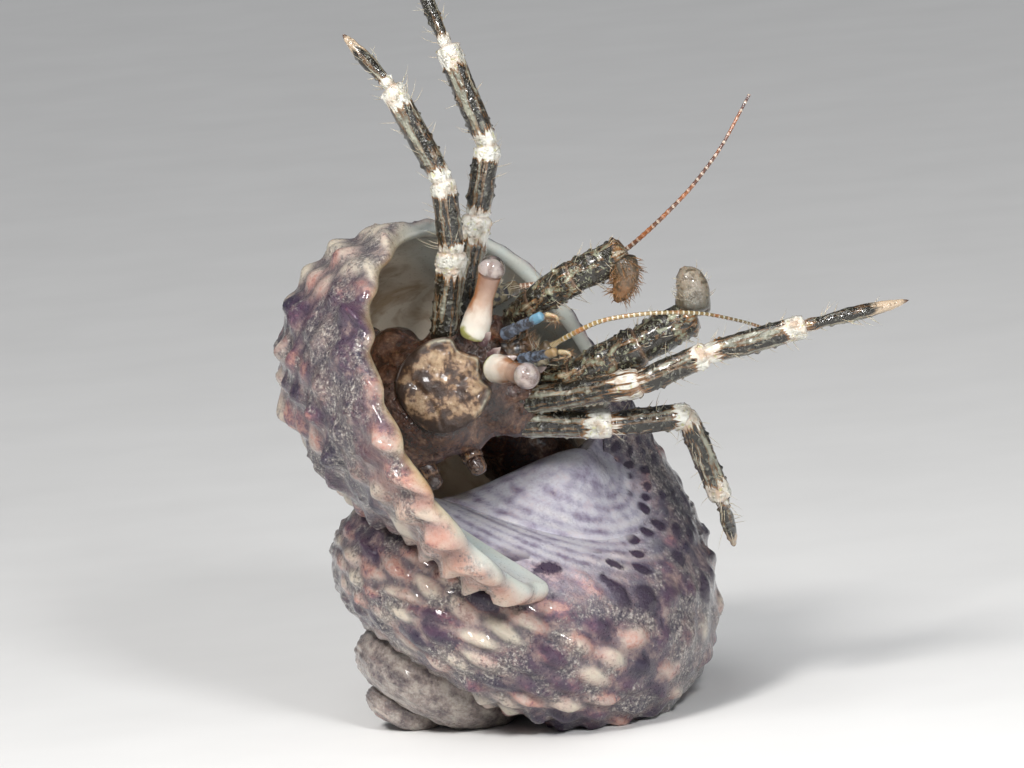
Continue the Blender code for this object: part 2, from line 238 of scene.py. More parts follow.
def new_finish(name, roughness, coat=0.0, scatter=0.0, scatter_mm=0.2, tint=(1.0, 0.5, 0.3)):
    """Material with one shader; scatter lets light bleed through thin parts."""
    finish = bpy.data.materials.new(name)
    finish.use_nodes = True
    shader = finish.node_tree.nodes["Principled BSDF"]
    shader.inputs["Roughness"].default_value = roughness
    shader.inputs["Coat Weight"].default_value = coat
    shader.inputs["Coat Roughness"].default_value = 0.06
    shader.inputs["Coat IOR"].default_value = 1.33
    shader.inputs["Subsurface Weight"].default_value = scatter
    shader.inputs["Subsurface Radius"].default_value = tint
    shader.inputs["Subsurface Scale"].default_value = scatter_mm * MM
    Bench.tree = finish.node_tree
    return finish, shader


def join(value, socket):
    """Links a socket to another, or sets it to a number or colour."""
    if isinstance(value, bpy.types.NodeSocket):
        Bench.tree.links.new(value, socket)
    else:
        socket.default_value = (*value, 1.0) if isinstance(value, tuple) else value


def add(kind, **values):
    """New node; values that name one of its inputs set it, the rest set the node itself."""
    made = Bench.tree.nodes.new("ShaderNode" + kind)
    for label, value in values.items():
        socket = made.inputs.get(label.replace("_", " "))
        if socket is None:
            setattr(made, label, value)
        else:
            join(value, socket)
    return made


def mark(label):
    """A painted mark of the mesh, as a number."""
    return add("Attribute", attribute_name=label).outputs["Fac"]


def cells(size):
    """Distance to the nearest of many scattered points, this many mm apart."""
    where = add("TexCoord").outputs["Object"]
    return add("TexVoronoi", Vector=where, Scale=1 / (size * MM)).outputs["Distance"]


def unwrap():
    """Place on the piece's unwrap: X goes round it and Y along it."""
    return add("SeparateXYZ", Vector=add("UVMap", uv_map="Along").outputs["UV"])


def speckle(size, detail=3.0, rough=0.55, warp=0.0):
    """Noise over the object's own space with features of this size in mm."""
    where = add("TexCoord").outputs["Object"]
    return add("TexNoise", Vector=where, Scale=1 / (size * MM), Detail=detail, Roughness=rough,
        Distortion=warp).outputs["Fac"]


def drawn_out(size, stretch, detail=2.0, rough=0.5):
    """Noise drawn out along a limb: it reads the wrap mark, which runs round and along."""
    place = add("Attribute", attribute_name="wrap").outputs["Vector"]
    scaled = add("VectorMath", operation="MULTIPLY")
    join(place, scaled.inputs[0])
    scaled.inputs[1].default_value = (1.0, 1.0, 1.0 / stretch)
    return add("TexNoise", Vector=scaled.outputs["Vector"], Scale=1 / size, Detail=detail,
        Roughness=rough).outputs["Fac"]


def sums(operation, first, second):
    made = add("Math", operation=operation)
    for socket, value in zip(made.inputs, (first, second)):
        join(value, socket)
    return made.outputs[0]


def times(first, second):
    return sums("MULTIPLY", first, second)


def plus(first, second, share=None):
    """First plus second, or plus this share of it."""
    return sums("ADD", first, second if share is None else times(second, share))


def minus(first, second, share=None):
    return sums("SUBTRACT", first, second if share is None else times(second, share))


def around(value, share=None):
    """Noise moved to lie evenly on both sides of 0."""
    level = minus(value, 0.5)
    return level if share is None else times(level, share)


def ramp(value, stops):
    """Colour or grey read from stops of (place, colour)."""
    made = add("ValToRGB", Fac=value)
    bar = made.color_ramp
    while len(bar.elements) < len(stops):
        bar.elements.new(0.5)
    for element, (place, colour) in zip(bar.elements, stops):
        element.position = place
        element.color = (*colour, 1.0) if isinstance(colour, tuple) else (colour,) * 3 + (1.0,)
    return made.outputs["Color"]


def blend(share, under, over):
    """Under where share is 0, over where it is 1; either may be a colour or a socket."""
    made = add("Mix", data_type="RGBA")
    for at, value in ((0, share), (6, under), (7, over)):
        join(value, made.inputs[at])
    return made.outputs[2]


def tinted(under, value, low, high, over, most=1.0):
    """Under, with another colour laid over it where value rises from low to high."""
    return blend(ramp(value, ((low, 0.0), (high, most))), under, over)


def colour_and_bump(shader, colour, height, depth):
    """Joins a colour and a height to the shader; depth of the relief is in mm."""
    join(colour, shader.inputs["Base Color"])
    bump = add("Bump", Height=height, Distance=depth * MM, Strength=1.0)
    join(bump.outputs["Normal"], shader.inputs["Normal"])


# %% [markdown]
# ## The shell: one coiled tube
# A snail shell is a tube that grows by the same factor each turn while it slides down and out from
# the tip. So one short formula places every point of it: a turn number, an angle round the tube,
# and a distance out from the tube's middle. The mouth is turn 0, and older turns are negative. The
# same driving sizes as in the solids are used, so the fine shell fits them.

# %% Coil formula
GROWTH = 2.115           # size gained in one turn
COIL = 3.494             # axis to tube centre at the mouth
DROP = 7.401             # tip to tube centre along the axis at the mouth
TUBE = 3.38              # half width of the tube at the mouth
TUBE_FLAT = 0.854
TUBE_TILT = math.radians(27.3)
HUG, HUG_AT = 0.18, math.radians(84)
WALL = 0.42
LIP_LEAN = (math.radians(-27.3), math.radians(-46.9))
LIP_AHEAD = 0.98


def swell(phi):
    return 1 + HUG * np.maximum(0.0, np.cos(phi - HUG_AT)) ** 4


def section(phi, half):
    """Outward and tipward offset from the tube's centre."""
    wide, high = half * np.cos(phi), half * TUBE_FLAT * np.sin(phi)
    cos, sin = math.cos(TUBE_TILT), math.sin(TUBE_TILT)
    return wide * cos - high * sin, wide * sin + high * cos


def coil_local(turn, out, tip):
    size, angle = GROWTH ** turn, -2 * np.pi * turn
    reach = (COIL + out) * size
    return np.stack([reach * np.cos(angle), reach * np.sin(angle), (tip - DROP) * size], axis=-1)


def mouth_normal():
    """Direction that the mouth faces, in the shell's frame."""
    rate = math.log(GROWTH) / (2 * math.pi)
    ahead = Vector((COIL * rate, -COIL, -DROP * rate)).normalized()
    outward = Vector((1, 0, 0))
    outward = (outward - ahead * outward.dot(ahead)).normalized()
    lean = (ahead + outward * math.tan(LIP_LEAN[0]) + ahead.cross(outward) * math.tan(LIP_LEAN[1]))
    return np.array(lean.normalized())


def lip_turn(phi):
    """Turn at which the growing edge reaches the plane of the mouth, for each angle."""
    out, tip = section(phi, TUBE)
    low, high = np.full_like(phi, -0.40), np.full_like(phi, 0.45)
    normal, centre = mouth_normal(), np.array((COIL, 0, -DROP))
    for _ in range(30):
        middle = (low + high) / 2
        past = (coil_local(middle, out, tip) - centre) @ normal > LIP_AHEAD
        low, high = np.where(past, low, middle), np.where(past, middle, high)
    return low


# %% [markdown]
# ## Rows of beads
# The outside is sculpted in spiral rows: fine ones close together on the base, and coarse ones
# from the shoulder up to the seam. Each row is a string of beads, and the count of beads falls
# towards the tip, where the turns are smaller. Row and number pick each bead's size and colour. A
# broad noise is added, so that neighbours also share a colour here and there.

# %% Bead heights and pigment
LAST_TURN_BEADS, CROWDING = 42, 0.7
GLAZE_FLATTENS = 0.88    # share of the beads' height that the glaze fills
STREAKS = 44             # faint lines round the glaze
FINE_ROWS = [-166 + 11 * k for k in range(7)]
COARSE_ROWS = [-80, -58] + [-40 + 14.5 * k for k in range(11)]
ROWS = np.array(FINE_ROWS + COARSE_ROWS, float)
ROW_HALF = np.array([4.6] * len(FINE_ROWS) + [8.8, 9.2] + [7.0] * (len(COARSE_ROWS) - 2))
ROW_TALL = np.array([0.07] * len(FINE_ROWS) + [0.24, 0.30] + [0.29] * (len(COARSE_ROWS) - 2))


def bead_count(turn):
    """Beads laid down by this turn; older turns have fewer, so that beads keep their size."""
    return LAST_TURN_BEADS * (np.exp(CROWDING * turn) - 1) / CROWDING


def beads(turn, phi):
    """Bead height, crest, pigment and dark spots at each point of the outside."""
    wave = np.stack([turn * 9, np.cos(phi) * 2.2, np.sin(phi) * 2.2], axis=-1)
    degrees = np.degrees(phi) + 3.2 * noise(wave, 1.0, 12) + 1.8 * noise(wave, 0.4, 13)
    laid = bead_count(turn) + 0.45 * noise(wave, 0.7, 14)
    row_at = np.interp(degrees, ROWS, np.arange(len(ROWS)))
    height = np.zeros(degrees.shape)
    crest, spot = np.zeros_like(height), np.zeros_like(height)
    weight, tone = np.full_like(height, 0.12), np.full_like(height, 0.12 * 0.42)
    for row, (at, half, tall) in enumerate(zip(ROWS, ROW_HALF, ROW_TALL)):
        count = laid + 0.37 * row
        number = np.floor(count + 0.5)
        place = np.stack([number, np.full_like(number, row), np.zeros_like(number)], axis=-1)
        across = np.exp(-((degrees - at) / half) ** 2 * 1.5)
        lift = np.cos(np.pi * (count - number)) ** 2
        grown = 0.40 + 1.0 * scramble(place, 11)
        knob = across * (0.22 + 0.78 * lift * grown)
        height += tall * knob
        crest = np.maximum(crest, across * (0.25 + 0.75 * lift))
        strength = across * (0.25 + 0.75 * lift)
        weight += strength
        base = 0.22 * ease((-40 - at) / 30)
        tone += strength * (0.04 + 0.90 * scramble(place, 5) + base)
        dark = (scramble(place, 17) > 0.30) * ease((-62 - at) / 20)
        size = 0.55 + 0.75 * scramble(place, 18)
        spot = np.maximum(spot, across * lift ** 0.7 * dark * size)
    patch = np.stack([laid * 0.50, row_at * 0.85, row_at * 0], axis=-1)
    spot = spot * ease((turn + 1.1) / 0.4)
    pigment = tone / weight + 0.34 * noise(patch, 2.3, 6)
    return height, np.clip(crest, 0, 1), np.clip(pigment, 0, 1), spot


def glazed(turn, phi):
    """Share of smooth glaze laid over the former turn in front of the mouth."""
    degrees = np.degrees(phi)
    edge = np.interp(degrees, (-180, -156, -136, -120, -101, -70, -45),
        (-0.22, -0.40, -0.46, -0.56, -0.65, -0.75, -0.80))
    return ease((edge + 0.11 - turn) / 0.22) * ease((-42 - degrees) / 22) * (turn > -1.5)


# %% [markdown]
# ## Outside, lip and hollow in one skin
# The tube's outside runs from the tip to the mouth, turns over the lip and goes back inside. Drawn
# as one grid it needs no joining, and the lip gets its rounded edge for free. Inside, the wall
# stops short of the former turn, which shows there as a smooth bulge.

# %% Wall of the shell
COLUMNS = 300
DEEP_COVER, LIP_COVER = 0.14, -0.10    # glaze over the former turn, far in and at the lip, mm
PHI = np.radians(-180 + 360 * (np.arange(COLUMNS) + 0.5) / COLUMNS)
TILT_COS, TILT_SIN = math.cos(TUBE_TILT), math.sin(TUBE_TILT)


def former_angle(out, tip):
    """Distance and angle of a point seen from the former turn's centre, tube tilt removed."""
    x, y = out + COIL * (1 - 1 / GROWTH), tip - DROP * (1 - 1 / GROWTH)
    wide, high = x * TILT_COS + y * TILT_SIN, (-x * TILT_SIN + y * TILT_COS) / TUBE_FLAT
    return np.hypot(wide, high), np.arctan2(high, wide)


def hollow_half(phi, cover):
    """Half width of the hollow at each angle, where the former turn bulges in under a cover."""
    free = (TUBE - WALL) * swell(phi)
    half = free.copy()
    for step in np.linspace(1.0, 0.3, 160):
        distance, turn = former_angle(*section(phi, step * free))
        inside = distance < TUBE / GROWTH * swell(turn) + cover
        half = np.where(inside, step * free, half)
    window = np.hanning(11) / np.hanning(11).sum()
    return np.convolve(np.concatenate([half[-5:], half, half[:5]]), window, "valid")


def row_ridge(degrees):
    """How far the lip stands out over each row of beads, 0 to 1."""
    return np.exp(-((degrees[..., None] - ROWS) / ROW_HALF) ** 2 * 1.5).max(axis=-1)


def lip_line():
    """Turn at which the lip stands at each angle, and how far its rows of beads push it out."""
    degrees = np.degrees(PHI)
    round_degrees = degrees % 360
    back = 0.42 * ease((round_degrees - 74) / 22) * ease((206 - round_degrees) / 26)
    lobes = row_ridge(degrees) * ease((degrees + 62) / 12) * ease((112 - degrees) / 14)
    lip = lip_turn(PHI) - back + 0.008 * (lobes - 0.5)
    return lip + 0.003 * noise(np.stack([PHI * 3, PHI * 0, PHI * 0], axis=-1), 0.7, 3), lobes


def outer_wall(turn, phi):
    """Half width of the outside, with its crest, pigment, spot, glaze and wear."""
    height, crest, pigment, spot = beads(turn, phi)
    glaze = glazed(turn, phi)
    plain = 0.965 + 0.035 * ease((turn + 2.4) / 1.4)
    place = placed(coil_local(turn, *section(phi, TUBE)), SHELL_FRAME)
    worn = ease(noise(place, 1.7, 23) * 1.2 + 0.2 + 0.8 * ease((-turn - 0.5) / 0.5))
    lumps = 0.06 * noise(place, 0.75, 21) + 0.03 * noise(place, 0.26, 22)
    lumps += (0.02 + 0.04 * worn) * grains(place, 0.16, 31, share=0.4)
    relief = height * (1 - 0.45 * worn) + lumps - 0.06
    half = TUBE * plain + relief * (1 - GLAZE_FLATTENS * glaze)
    return half, crest, pigment, spot, glaze, worn


# %% Shell grid
def shell_grid():
    lip, lobes = lip_line()
    early = np.concatenate([np.linspace(-3.2, -2.2, 60, endpoint=False),
        np.linspace(-2.2, -1.2, 130, endpoint=False)])
    share = np.linspace(0, 1, 520)[:, None]
    outer_turn = np.concatenate([early[:, None] + np.zeros(COLUMNS), -1.2 + (lip + 1.2) * share])
    phi = np.broadcast_to(PHI, outer_turn.shape)
    half, crest, pigment, spot, glaze, worn = outer_wall(outer_turn, phi)
    near_lip = ease(1 - (lip - outer_turn) / 0.05)
    outer = coil_local(outer_turn, *section(phi, half * swell(phi)))

    deep, thin = hollow_half(PHI, DEEP_COVER), hollow_half(PHI, LIP_COVER)
    free = (TUBE - WALL) * swell(PHI)
    rim_out = half[-1] * swell(PHI)
    bend = np.linspace(0, np.pi, 11)[1:-1, None]
    rim_half = (rim_out + thin) / 2 + (rim_out - thin) / 2 * np.cos(bend)
    rim_turn = lip + 0.010 * np.sin(bend)
    rim = coil_local(rim_turn, *section(np.broadcast_to(PHI, rim_half.shape), rim_half))
    inner_share = np.linspace(0, 1, 150)[:, None] ** 1.3
    inner_turn = lip + (-1.28 - lip) * inner_share
    inner_phi = np.broadcast_to(PHI, inner_turn.shape)
    cover = ease((lip - inner_turn) / 0.35)
    inner_half = thin + (deep - thin) * cover
    inner_half = inner_half + 0.03 * (lobes - 0.5) * np.exp(-(lip - inner_turn) / 0.02)
    out, tip = section(inner_phi, inner_half)
    inner = coil_local(inner_turn, out, tip)

    grid = placed(np.concatenate([outer, rim, inner]), SHELL_FRAME)
    grid[:len(outer), :, 2] = np.maximum(grid[:len(outer), :, 2], 0.0)
    bulge = ease((1 - inner_half / free) / 0.05)
    _, former_phi = former_angle(out, tip)
    _, old_crest, old_pigment, _ = beads(inner_turn - 1, former_phi)
    depth = (lip - inner_turn) / 1.3
    degrees = np.degrees(PHI)
    far_rim = ease((-52 - degrees) / 20) * ease((degrees + 165) / 20)
    porcelain = far_rim + ease((degrees - 18) / 22) * ease((125 - degrees) / 20)
    flushed = ease((degrees + 10) / 60)
    edge, none = np.zeros(rim_half.shape), 0 * inner_half
    layers = {
        "crest": (crest, edge + crest[-1], old_crest),
        "pigment": (pigment, edge + pigment[-1], old_pigment),
        "spot": (spot, edge, none),
        "glaze": (glaze, edge, bulge),
        "inside": (0 * half, ease(bend / np.pi * 1.8 - 0.5 + 0.6 * far_rim),
                   np.maximum(1 - bulge, ease((depth - 0.12) / 0.12))),
        "depth": (0 * half, edge, depth),
        "porcelain": (0 * half + porcelain, edge + porcelain, none + porcelain),
        "peach": (near_lip * flushed, edge + flushed, none),
        "worn": (worn, edge, none),
        "old": (ease((-outer_turn - 0.95) / 0.5), edge, none),
        "rim": (near_lip, edge + 1, none),
        "streak": (np.cos(phi * STREAKS), edge, np.cos(former_phi * STREAKS)),
    }
    marks = {name: np.concatenate(parts) for name, parts in layers.items()}
    return grid, marks


# %% [markdown]
# ## Finish of the shell
# Beads are cream, coral or deep violet; the grooves between them hold grey grit and a dusty pink
# crust, and the oldest turns have faded to chalk. In front of the mouth the glaze is smooth lilac
# white with faint violet streaks, where the rows still show through. The inner edge of the lip is
# bluish porcelain, and further in the wall goes from cream through amber to brown; deep inside it
# turns near black, partly its own dark brown and partly painted shade.

# %% Beads, crust and grit
def bead_colour(fine, wander):
    """Cream, coral or violet by pigment, pink crust in grooves and on wear, a peach rim."""
    pigment = plus(plus(mark("pigment"), wander, 0.75), fine, 0.25)
    pigment = minus(pigment, mark("rim"), 0.10)
    body = ramp(pigment, ((0.16, (0.60, 0.53, 0.43)), (0.32, (0.50, 0.37, 0.32)),
        (0.42, (0.48, 0.25, 0.20)), (0.48, (0.24, 0.11, 0.13)), (0.56, (0.085, 0.04, 0.075)),
        (0.80, (0.025, 0.015, 0.04))))
    crust = ramp(speckle(0.30, 6, 0.7),
        ((0.38, (0.022, 0.017, 0.04)), (0.49, (0.085, 0.06, 0.085)), (0.58, (0.24, 0.17, 0.16)),
        (0.72, (0.38, 0.33, 0.29))))
    wash = plus(mark("crest"), wander)
    body = blend(ramp(wash, ((0.16, 0.85), (0.58, 0.0))), body, crust)
    rubbed = times(mark("worn"), ramp(speckle(0.6, 5, 0.7), ((0.38, 0.0), (0.54, 0.9))))
    body = blend(rubbed, body, crust)
    peach = times(mark("peach"), ramp(speckle(0.5, 4), ((0.35, 0.25), (0.60, 0.9))))
    return blend(peach, body, (0.52, 0.27, 0.20))


def gritty(body, fine):
    """The same colour under patches of grey grit, with chalk over the oldest turns."""
    grit = ramp(speckle(0.08, 4, 0.8), ((0.38, (0.012, 0.015, 0.035)), (0.48, (0.09, 0.08, 0.09)),
        (0.55, (0.28, 0.25, 0.22)), (0.64, (0.70, 0.67, 0.60))))
    dirty = minus(times(speckle(0.7, 4, 0.6), 1.8), 0.4)
    dirty = minus(plus(dirty, fine, 0.8), mark("crest"), 0.08)
    dirty = plus(dirty, mark("worn"), 0.21)
    body = tinted(body, dirty, 0.50, 0.68, grit, 0.72)
    chalk = ramp(speckle(0.30, 5, 0.7),
        ((0.38, (0.15, 0.12, 0.12)), (0.50, (0.34, 0.28, 0.25)), (0.62, (0.56, 0.50, 0.44))))
    return blend(times(mark("old"), 0.75), body, chalk)


# %% Glaze and lining
def under_glaze(body, fine, wander):
    """The same colour under the streaked glaze, with dark spots showing through its edge."""
    lines = plus(times(mark("streak"), 0.11), wander, 0.9)
    smooth = ramp(plus(lines, 0.5), ((0.24, (0.12, 0.09, 0.15)), (0.40, (0.27, 0.25, 0.31)),
        (0.54, (0.39, 0.38, 0.43)), (0.85, (0.52, 0.50, 0.50))))
    glaze = mark("glaze")
    body = blend(times(glaze, plus(0.92, fine)), body, smooth)
    spots = plus(plus(mark("spot"), wander, 1.5), fine, 0.5)
    spots = ramp(spots, ((0.18, 0.0), (0.44, 0.95)))
    showing = times(spots, ramp(glaze, ((0.82, 1.0), (1.0, 0.0))))
    return blend(showing, body, (0.028, 0.015, 0.036))


def lining_colour_and_shade(wander):
    """Porcelain at the lip's inner edge, elsewhere cream, amber and brown by depth; both turn near
    black deep inside, partly the lining's own brown and partly painted shade.
    """
    depth = plus(mark("depth"), wander, 0.16)
    # Past about 0.4 of the depth both ramps fall to near black: the lining's own brown with painted
    # shade over it.
    brown = ramp(depth, ((0.0, (0.60, 0.48, 0.28)), (0.025, (0.34, 0.18, 0.06)),
        (0.055, (0.50, 0.38, 0.24)), (0.09, (0.76, 0.68, 0.56)), (0.34, (0.72, 0.61, 0.49)),
        (0.44, (0.40, 0.24, 0.12)), (0.58, (0.12, 0.05, 0.03))))
    brown = tinted(brown, speckle(0.9, 3, 0.6, 0.8), 0.50, 0.66, (0.34, 0.19, 0.07), 0.65)
    white = ramp(depth, ((0.0, (0.50, 0.52, 0.47)), (0.08, (0.48, 0.57, 0.57)),
        (0.25, (0.40, 0.32, 0.25)), (0.45, (0.10, 0.05, 0.03))))
    return blend(mark("porcelain"), brown, white)


# %% Shell finish
def shell_finish():
    finish, shader = new_finish("wet_shell", 0.34, coat=0.85, scatter=0.12, scatter_mm=0.25,
        tint=(1.0, 0.6, 0.45))
    fine = around(speckle(0.07, 3, 0.7))
    wander = around(speckle(0.40, 4, 0.6))
    outside = under_glaze(gritty(bead_colour(fine, wander), fine), fine, wander)
    inside = mark("inside")
    colour = blend(inside, outside, lining_colour_and_shade(wander))
    relief = plus(speckle(0.045, 5, 0.75), speckle(0.20, 3), 0.8)
    relief = times(relief, minus(1.04, sums("MAXIMUM", mark("glaze"), inside)))
    colour_and_bump(shader, colour, relief, 0.045)
    join(plus(0.17, speckle(0.06, 3), 0.28), shader.inputs["Roughness"])
    return finish


shell_points, shell_marks = shell_grid()
shell = grid_mesh("turban_shell", shell_points, marks=shell_marks)
shell_skin = shell_finish()
hand_over(shell, shell_skin, "shell_wall", "shell")

# %% [markdown]
# ## The pillar's pad
# In the middle of the coil the turns press together into a pillar. Where the pillar comes out
# beside the mouth, the snail covered it with a smooth pad that hides the joint between the last
# turn and the one before. It is a low hill round the coil's axis, and leaves the base at a
# tangent, so no crease shows.

# %% Pad round the axis
PAD_TOP, PAD_REACH, MOUTH_SIDE = -7.35, 2.0, 97
TOP_RINGS = 60
PAD_RINGS = np.concatenate([np.linspace(0.01, 1.0, TOP_RINGS), np.linspace(0.95, 0.05, 10)])[:, None]


def pad_grid():
    """Hill round the axis that leaves the spiral of the base without a crease."""
    angle = 2 * np.pi * np.arange(180) / 180
    turns = -((np.degrees(angle) - MOUTH_SIDE) % 360) / 360 - 0.27
    size = GROWTH ** turns
    under = np.radians(np.linspace(-174, -95, 60))
    out, tip = section(under, TUBE * swell(under))
    reach = PAD_REACH * PAD_RINGS
    base = np.interp(reach / size, COIL + out, tip - DROP) * size
    phi = np.interp(reach / size, COIL + out, under)
    window = np.hanning(15)[None, :] / np.hanning(15).sum()
    wide = np.concatenate([base[:, -7:], base, base[:, :7]], axis=1)
    base = np.stack([np.convolve(row, window[0], "valid") for row in wide])
    share = 1 - ease(PAD_RINGS)
    is_top = (np.arange(len(PAD_RINGS)) < TOP_RINGS)[:, None]
    height, crest, pigment, spot = beads(turns + 0 * phi, phi)
    glaze = np.maximum(glazed(turns + 0 * phi, phi), ease(share * 2.5))
    z = base + (PAD_TOP - base) * share - height * (1 - GLAZE_FLATTENS * glaze)
    z = z + np.where(is_top, 0.25 * ease((PAD_RINGS - 0.88) / 0.12) - 0.02, 0.75)
    points = np.stack(np.broadcast_arrays(reach * np.cos(angle), reach * np.sin(angle), z), axis=-1)
    points = placed(points, SHELL_FRAME)
    outward = np.array(SHELL_FRAME)[:3, 2] * -1
    points = points + outward * (0.02 * noise(points, 0.5, 26) * is_top)[..., None]
    pattern = {"crest": crest, "pigment": pigment, "spot": spot, "glaze": glaze,
        "streak": np.cos(phi * STREAKS) * (1 - share)}
    return points, dict.fromkeys(shell_marks, 0.0) | pattern


pad_points, pad_marks = pad_grid()
pad = grid_mesh("pillar_pad", pad_points, marks=pad_marks)
hand_over(pad, shell_skin, "shell_wall")

# %% [markdown]
# ## Sweeping limbs
# Legs, claws, stalks and feelers are jointed tubes. Each is swept along its joints, with the
# corners eased so that the bend looks grown. The half width follows a profile for each length:
# narrow where it sits in the socket, a slight belly, and a flared rim at the far end. The sweep
# keeps its sideways direction from row to row, so stripes run straight along it.

# %% Paths and sweeps
STEP = 0.03              # distance between rows, mm


def eased_path(joints, soft=0.22):
    """Even points along the joints with soft corners, and a count: joint number plus share."""
    joints = np.asarray(joints, float)
    points, counts = [], []
    for k, (start, end) in enumerate(zip(joints[:-1], joints[1:])):
        rows = max(4, int(np.linalg.norm(end - start) / STEP))
        share = np.arange(rows) / rows
        points.append(start + (end - start) * share[:, None])
        counts.append(k + share)
    path = np.concatenate(points + [joints[-1:]])
    count = np.concatenate(counts + [[len(joints) - 1]])
    reach = max(1, int(soft / STEP))
    window = np.hanning(2 * reach + 3)[1:-1]
    before = path[0] + (path[0] - path[1]) * np.arange(reach, 0, -1)[:, None]
    after = path[-1] + (path[-1] - path[-2]) * np.arange(1, reach + 1)[:, None]
    padded = np.concatenate([before, path, after])
    path = np.stack([np.convolve(padded[:, k], window / window.sum(), "valid") for k in range(3)],
        axis=1)
    return path, count


def sweep(path, wide, high, columns=32, up=(0, 0, 1)):
    """Grid round a path, with its half width and half height at each row, and the outward way."""
    along = np.gradient(path, axis=0)
    along /= np.linalg.norm(along, axis=1)[:, None]
    over = np.array(up, float)
    if abs(over @ along[0]) > 0.95:
        over = np.array((0.0, 1.0, 0.0))
    overs = []
    for way in along:
        over = unit(over - way * (over @ way))
        overs.append(over)
    overs = np.array(overs)
    sides = np.cross(along, overs)
    turn = 2 * np.pi * np.arange(columns) / columns - np.pi / 2
    out = (np.cos(turn)[None, :, None] * sides[:, None] * np.asarray(wide)[:, None, None]
        + np.sin(turn)[None, :, None] * overs[:, None] * np.asarray(high)[:, None, None])
    length = np.linalg.norm(out, axis=2, keepdims=True)
    return path[:, None] + out, out / np.maximum(length, 1e-9)


def round_ends(path, sizes, start=1.0, end=1.0):
    """Half sizes with a dome at both ends."""
    run = run_length(path)
    sizes = np.array(sizes, float)
    for distance, dome in ((run, start), (run[-1] - run, end)):
        if dome:
            reach = max(sizes.max() * 0.5 * dome, STEP)
            sizes = sizes * np.sqrt(np.clip(1 - (1 - np.clip(distance / reach, 0.02, 1)) ** 2, 0, 1))
    return sizes


# %% [markdown]
# ## One jointed limb
# A walking leg has four free lengths. The armour of each is dark olive with pale stripes along it,
# and fades to off-white at both ends; the thin hide in the joint itself is orange brown. Small
# round tubercles stand in the armour. All of that comes from the joint count along the limb, so
# one function serves every leg and claw.

# %% Limb builder
LENGTH_SHAPE = ((0, 0.91), (0.05, 0.95), (0.14, 0.97), (0.35, 1.03), (0.62, 0.99), (0.84, 1.02),
                (0.93, 1.04), (0.975, 0.98), (1.0, 0.91))
TIP_SHAPE = ((0, 0.84), (0.07, 0.92), (0.16, 0.74), (0.40, 0.98), (0.62, 0.92), (0.80, 0.68),
             (0.92, 0.40), (0.98, 0.18), (1.0, 0.03))


def limb_piece(name, joints, widths, bands, flat=0.88, grain=0.14, lift=0.045, tip=True, columns=44,
        soft=0.22, curve=0.0, seed=40):
    """Jointed limb in world mm; each length has a half width and a pale band at both ends."""
    path, count = eased_path(joints, soft)
    last = len(widths) - 1
    number = np.minimum(count.astype(int), last)
    share = count - number
    start = np.array([w[0] for w in widths])[number]
    end = np.array([w[1] for w in widths])[number]
    shape = np.interp(share, *zip(*LENGTH_SHAPE))
    if tip:
        taper = np.interp(share, *zip(*TIP_SHAPE))
        shape = np.where(number == last, taper, shape)
        end = np.where(number == last, start, end)
    half = (start + (end - start) * share) * shape
    half = round_ends(path, half, 1.0, 0.0 if tip else 1.0)
    if curve:
        sag = np.where(number == last, share ** 2, 0)[:, None]
        path = path + sag * np.array((0, 0, -curve))
    grid, out = sweep(path, half, half * flat, columns)
    near, away = (np.array([pair[k] for pair in bands])[number] for k in (0, 1))
    band = np.maximum(near * ease((0.23 - share) / 0.20), away * ease((share - 0.70) / 0.20))
    seam = np.exp(-((count - np.round(count)) / 0.016) ** 2)
    seam = np.where((np.round(count) > 0) & (np.round(count) < len(widths)), seam, 0)
    horn = np.where((number == last) & tip, ease((share - 0.93) / 0.04), 0)
    far = np.where((number == last) & tip, ease((share - 0.42) / 0.45), 0)
    clear = (1 - np.clip(seam * 1.5, 0, 1)) * (1 - far * 0.7)
    bumps = grains(grid, grain, seed, 0.5) * clear[:, None]
    uneven = 0.012 * noise(grid, 0.30, seed + 8) + 0.009 * noise(grid, 0.11, seed + 9)
    grid = grid + out * (lift * bumps + uneven - 0.009 * seam[:, None])[..., None]
    marks = {"band": band[:, None], "seam": seam[:, None], "horn": horn[:, None], "far": far[:, None],
        "bump": bumps}
    run = run_length(path)
    turn = 2 * np.pi * np.arange(columns) / columns
    wrap = np.stack(np.broadcast_arrays(0.25 * np.cos(turn), 0.25 * np.sin(turn), run[:, None]),
        axis=-1)
    piece = grid_mesh(name, crab(grid), along=run / run[-1], marks=marks, wrap=wrap)
    return piece, grid, out, count


# %% [markdown]
# ## Finish of the armour
# The stripes are noise drawn out along the limb, so they run with it and break up in places.
# Between them the armour is nearly black. Light scatters a little through the pale bands. Water on
# the animal gives a hard bright gloss, so the clear coat is strong and almost smooth.

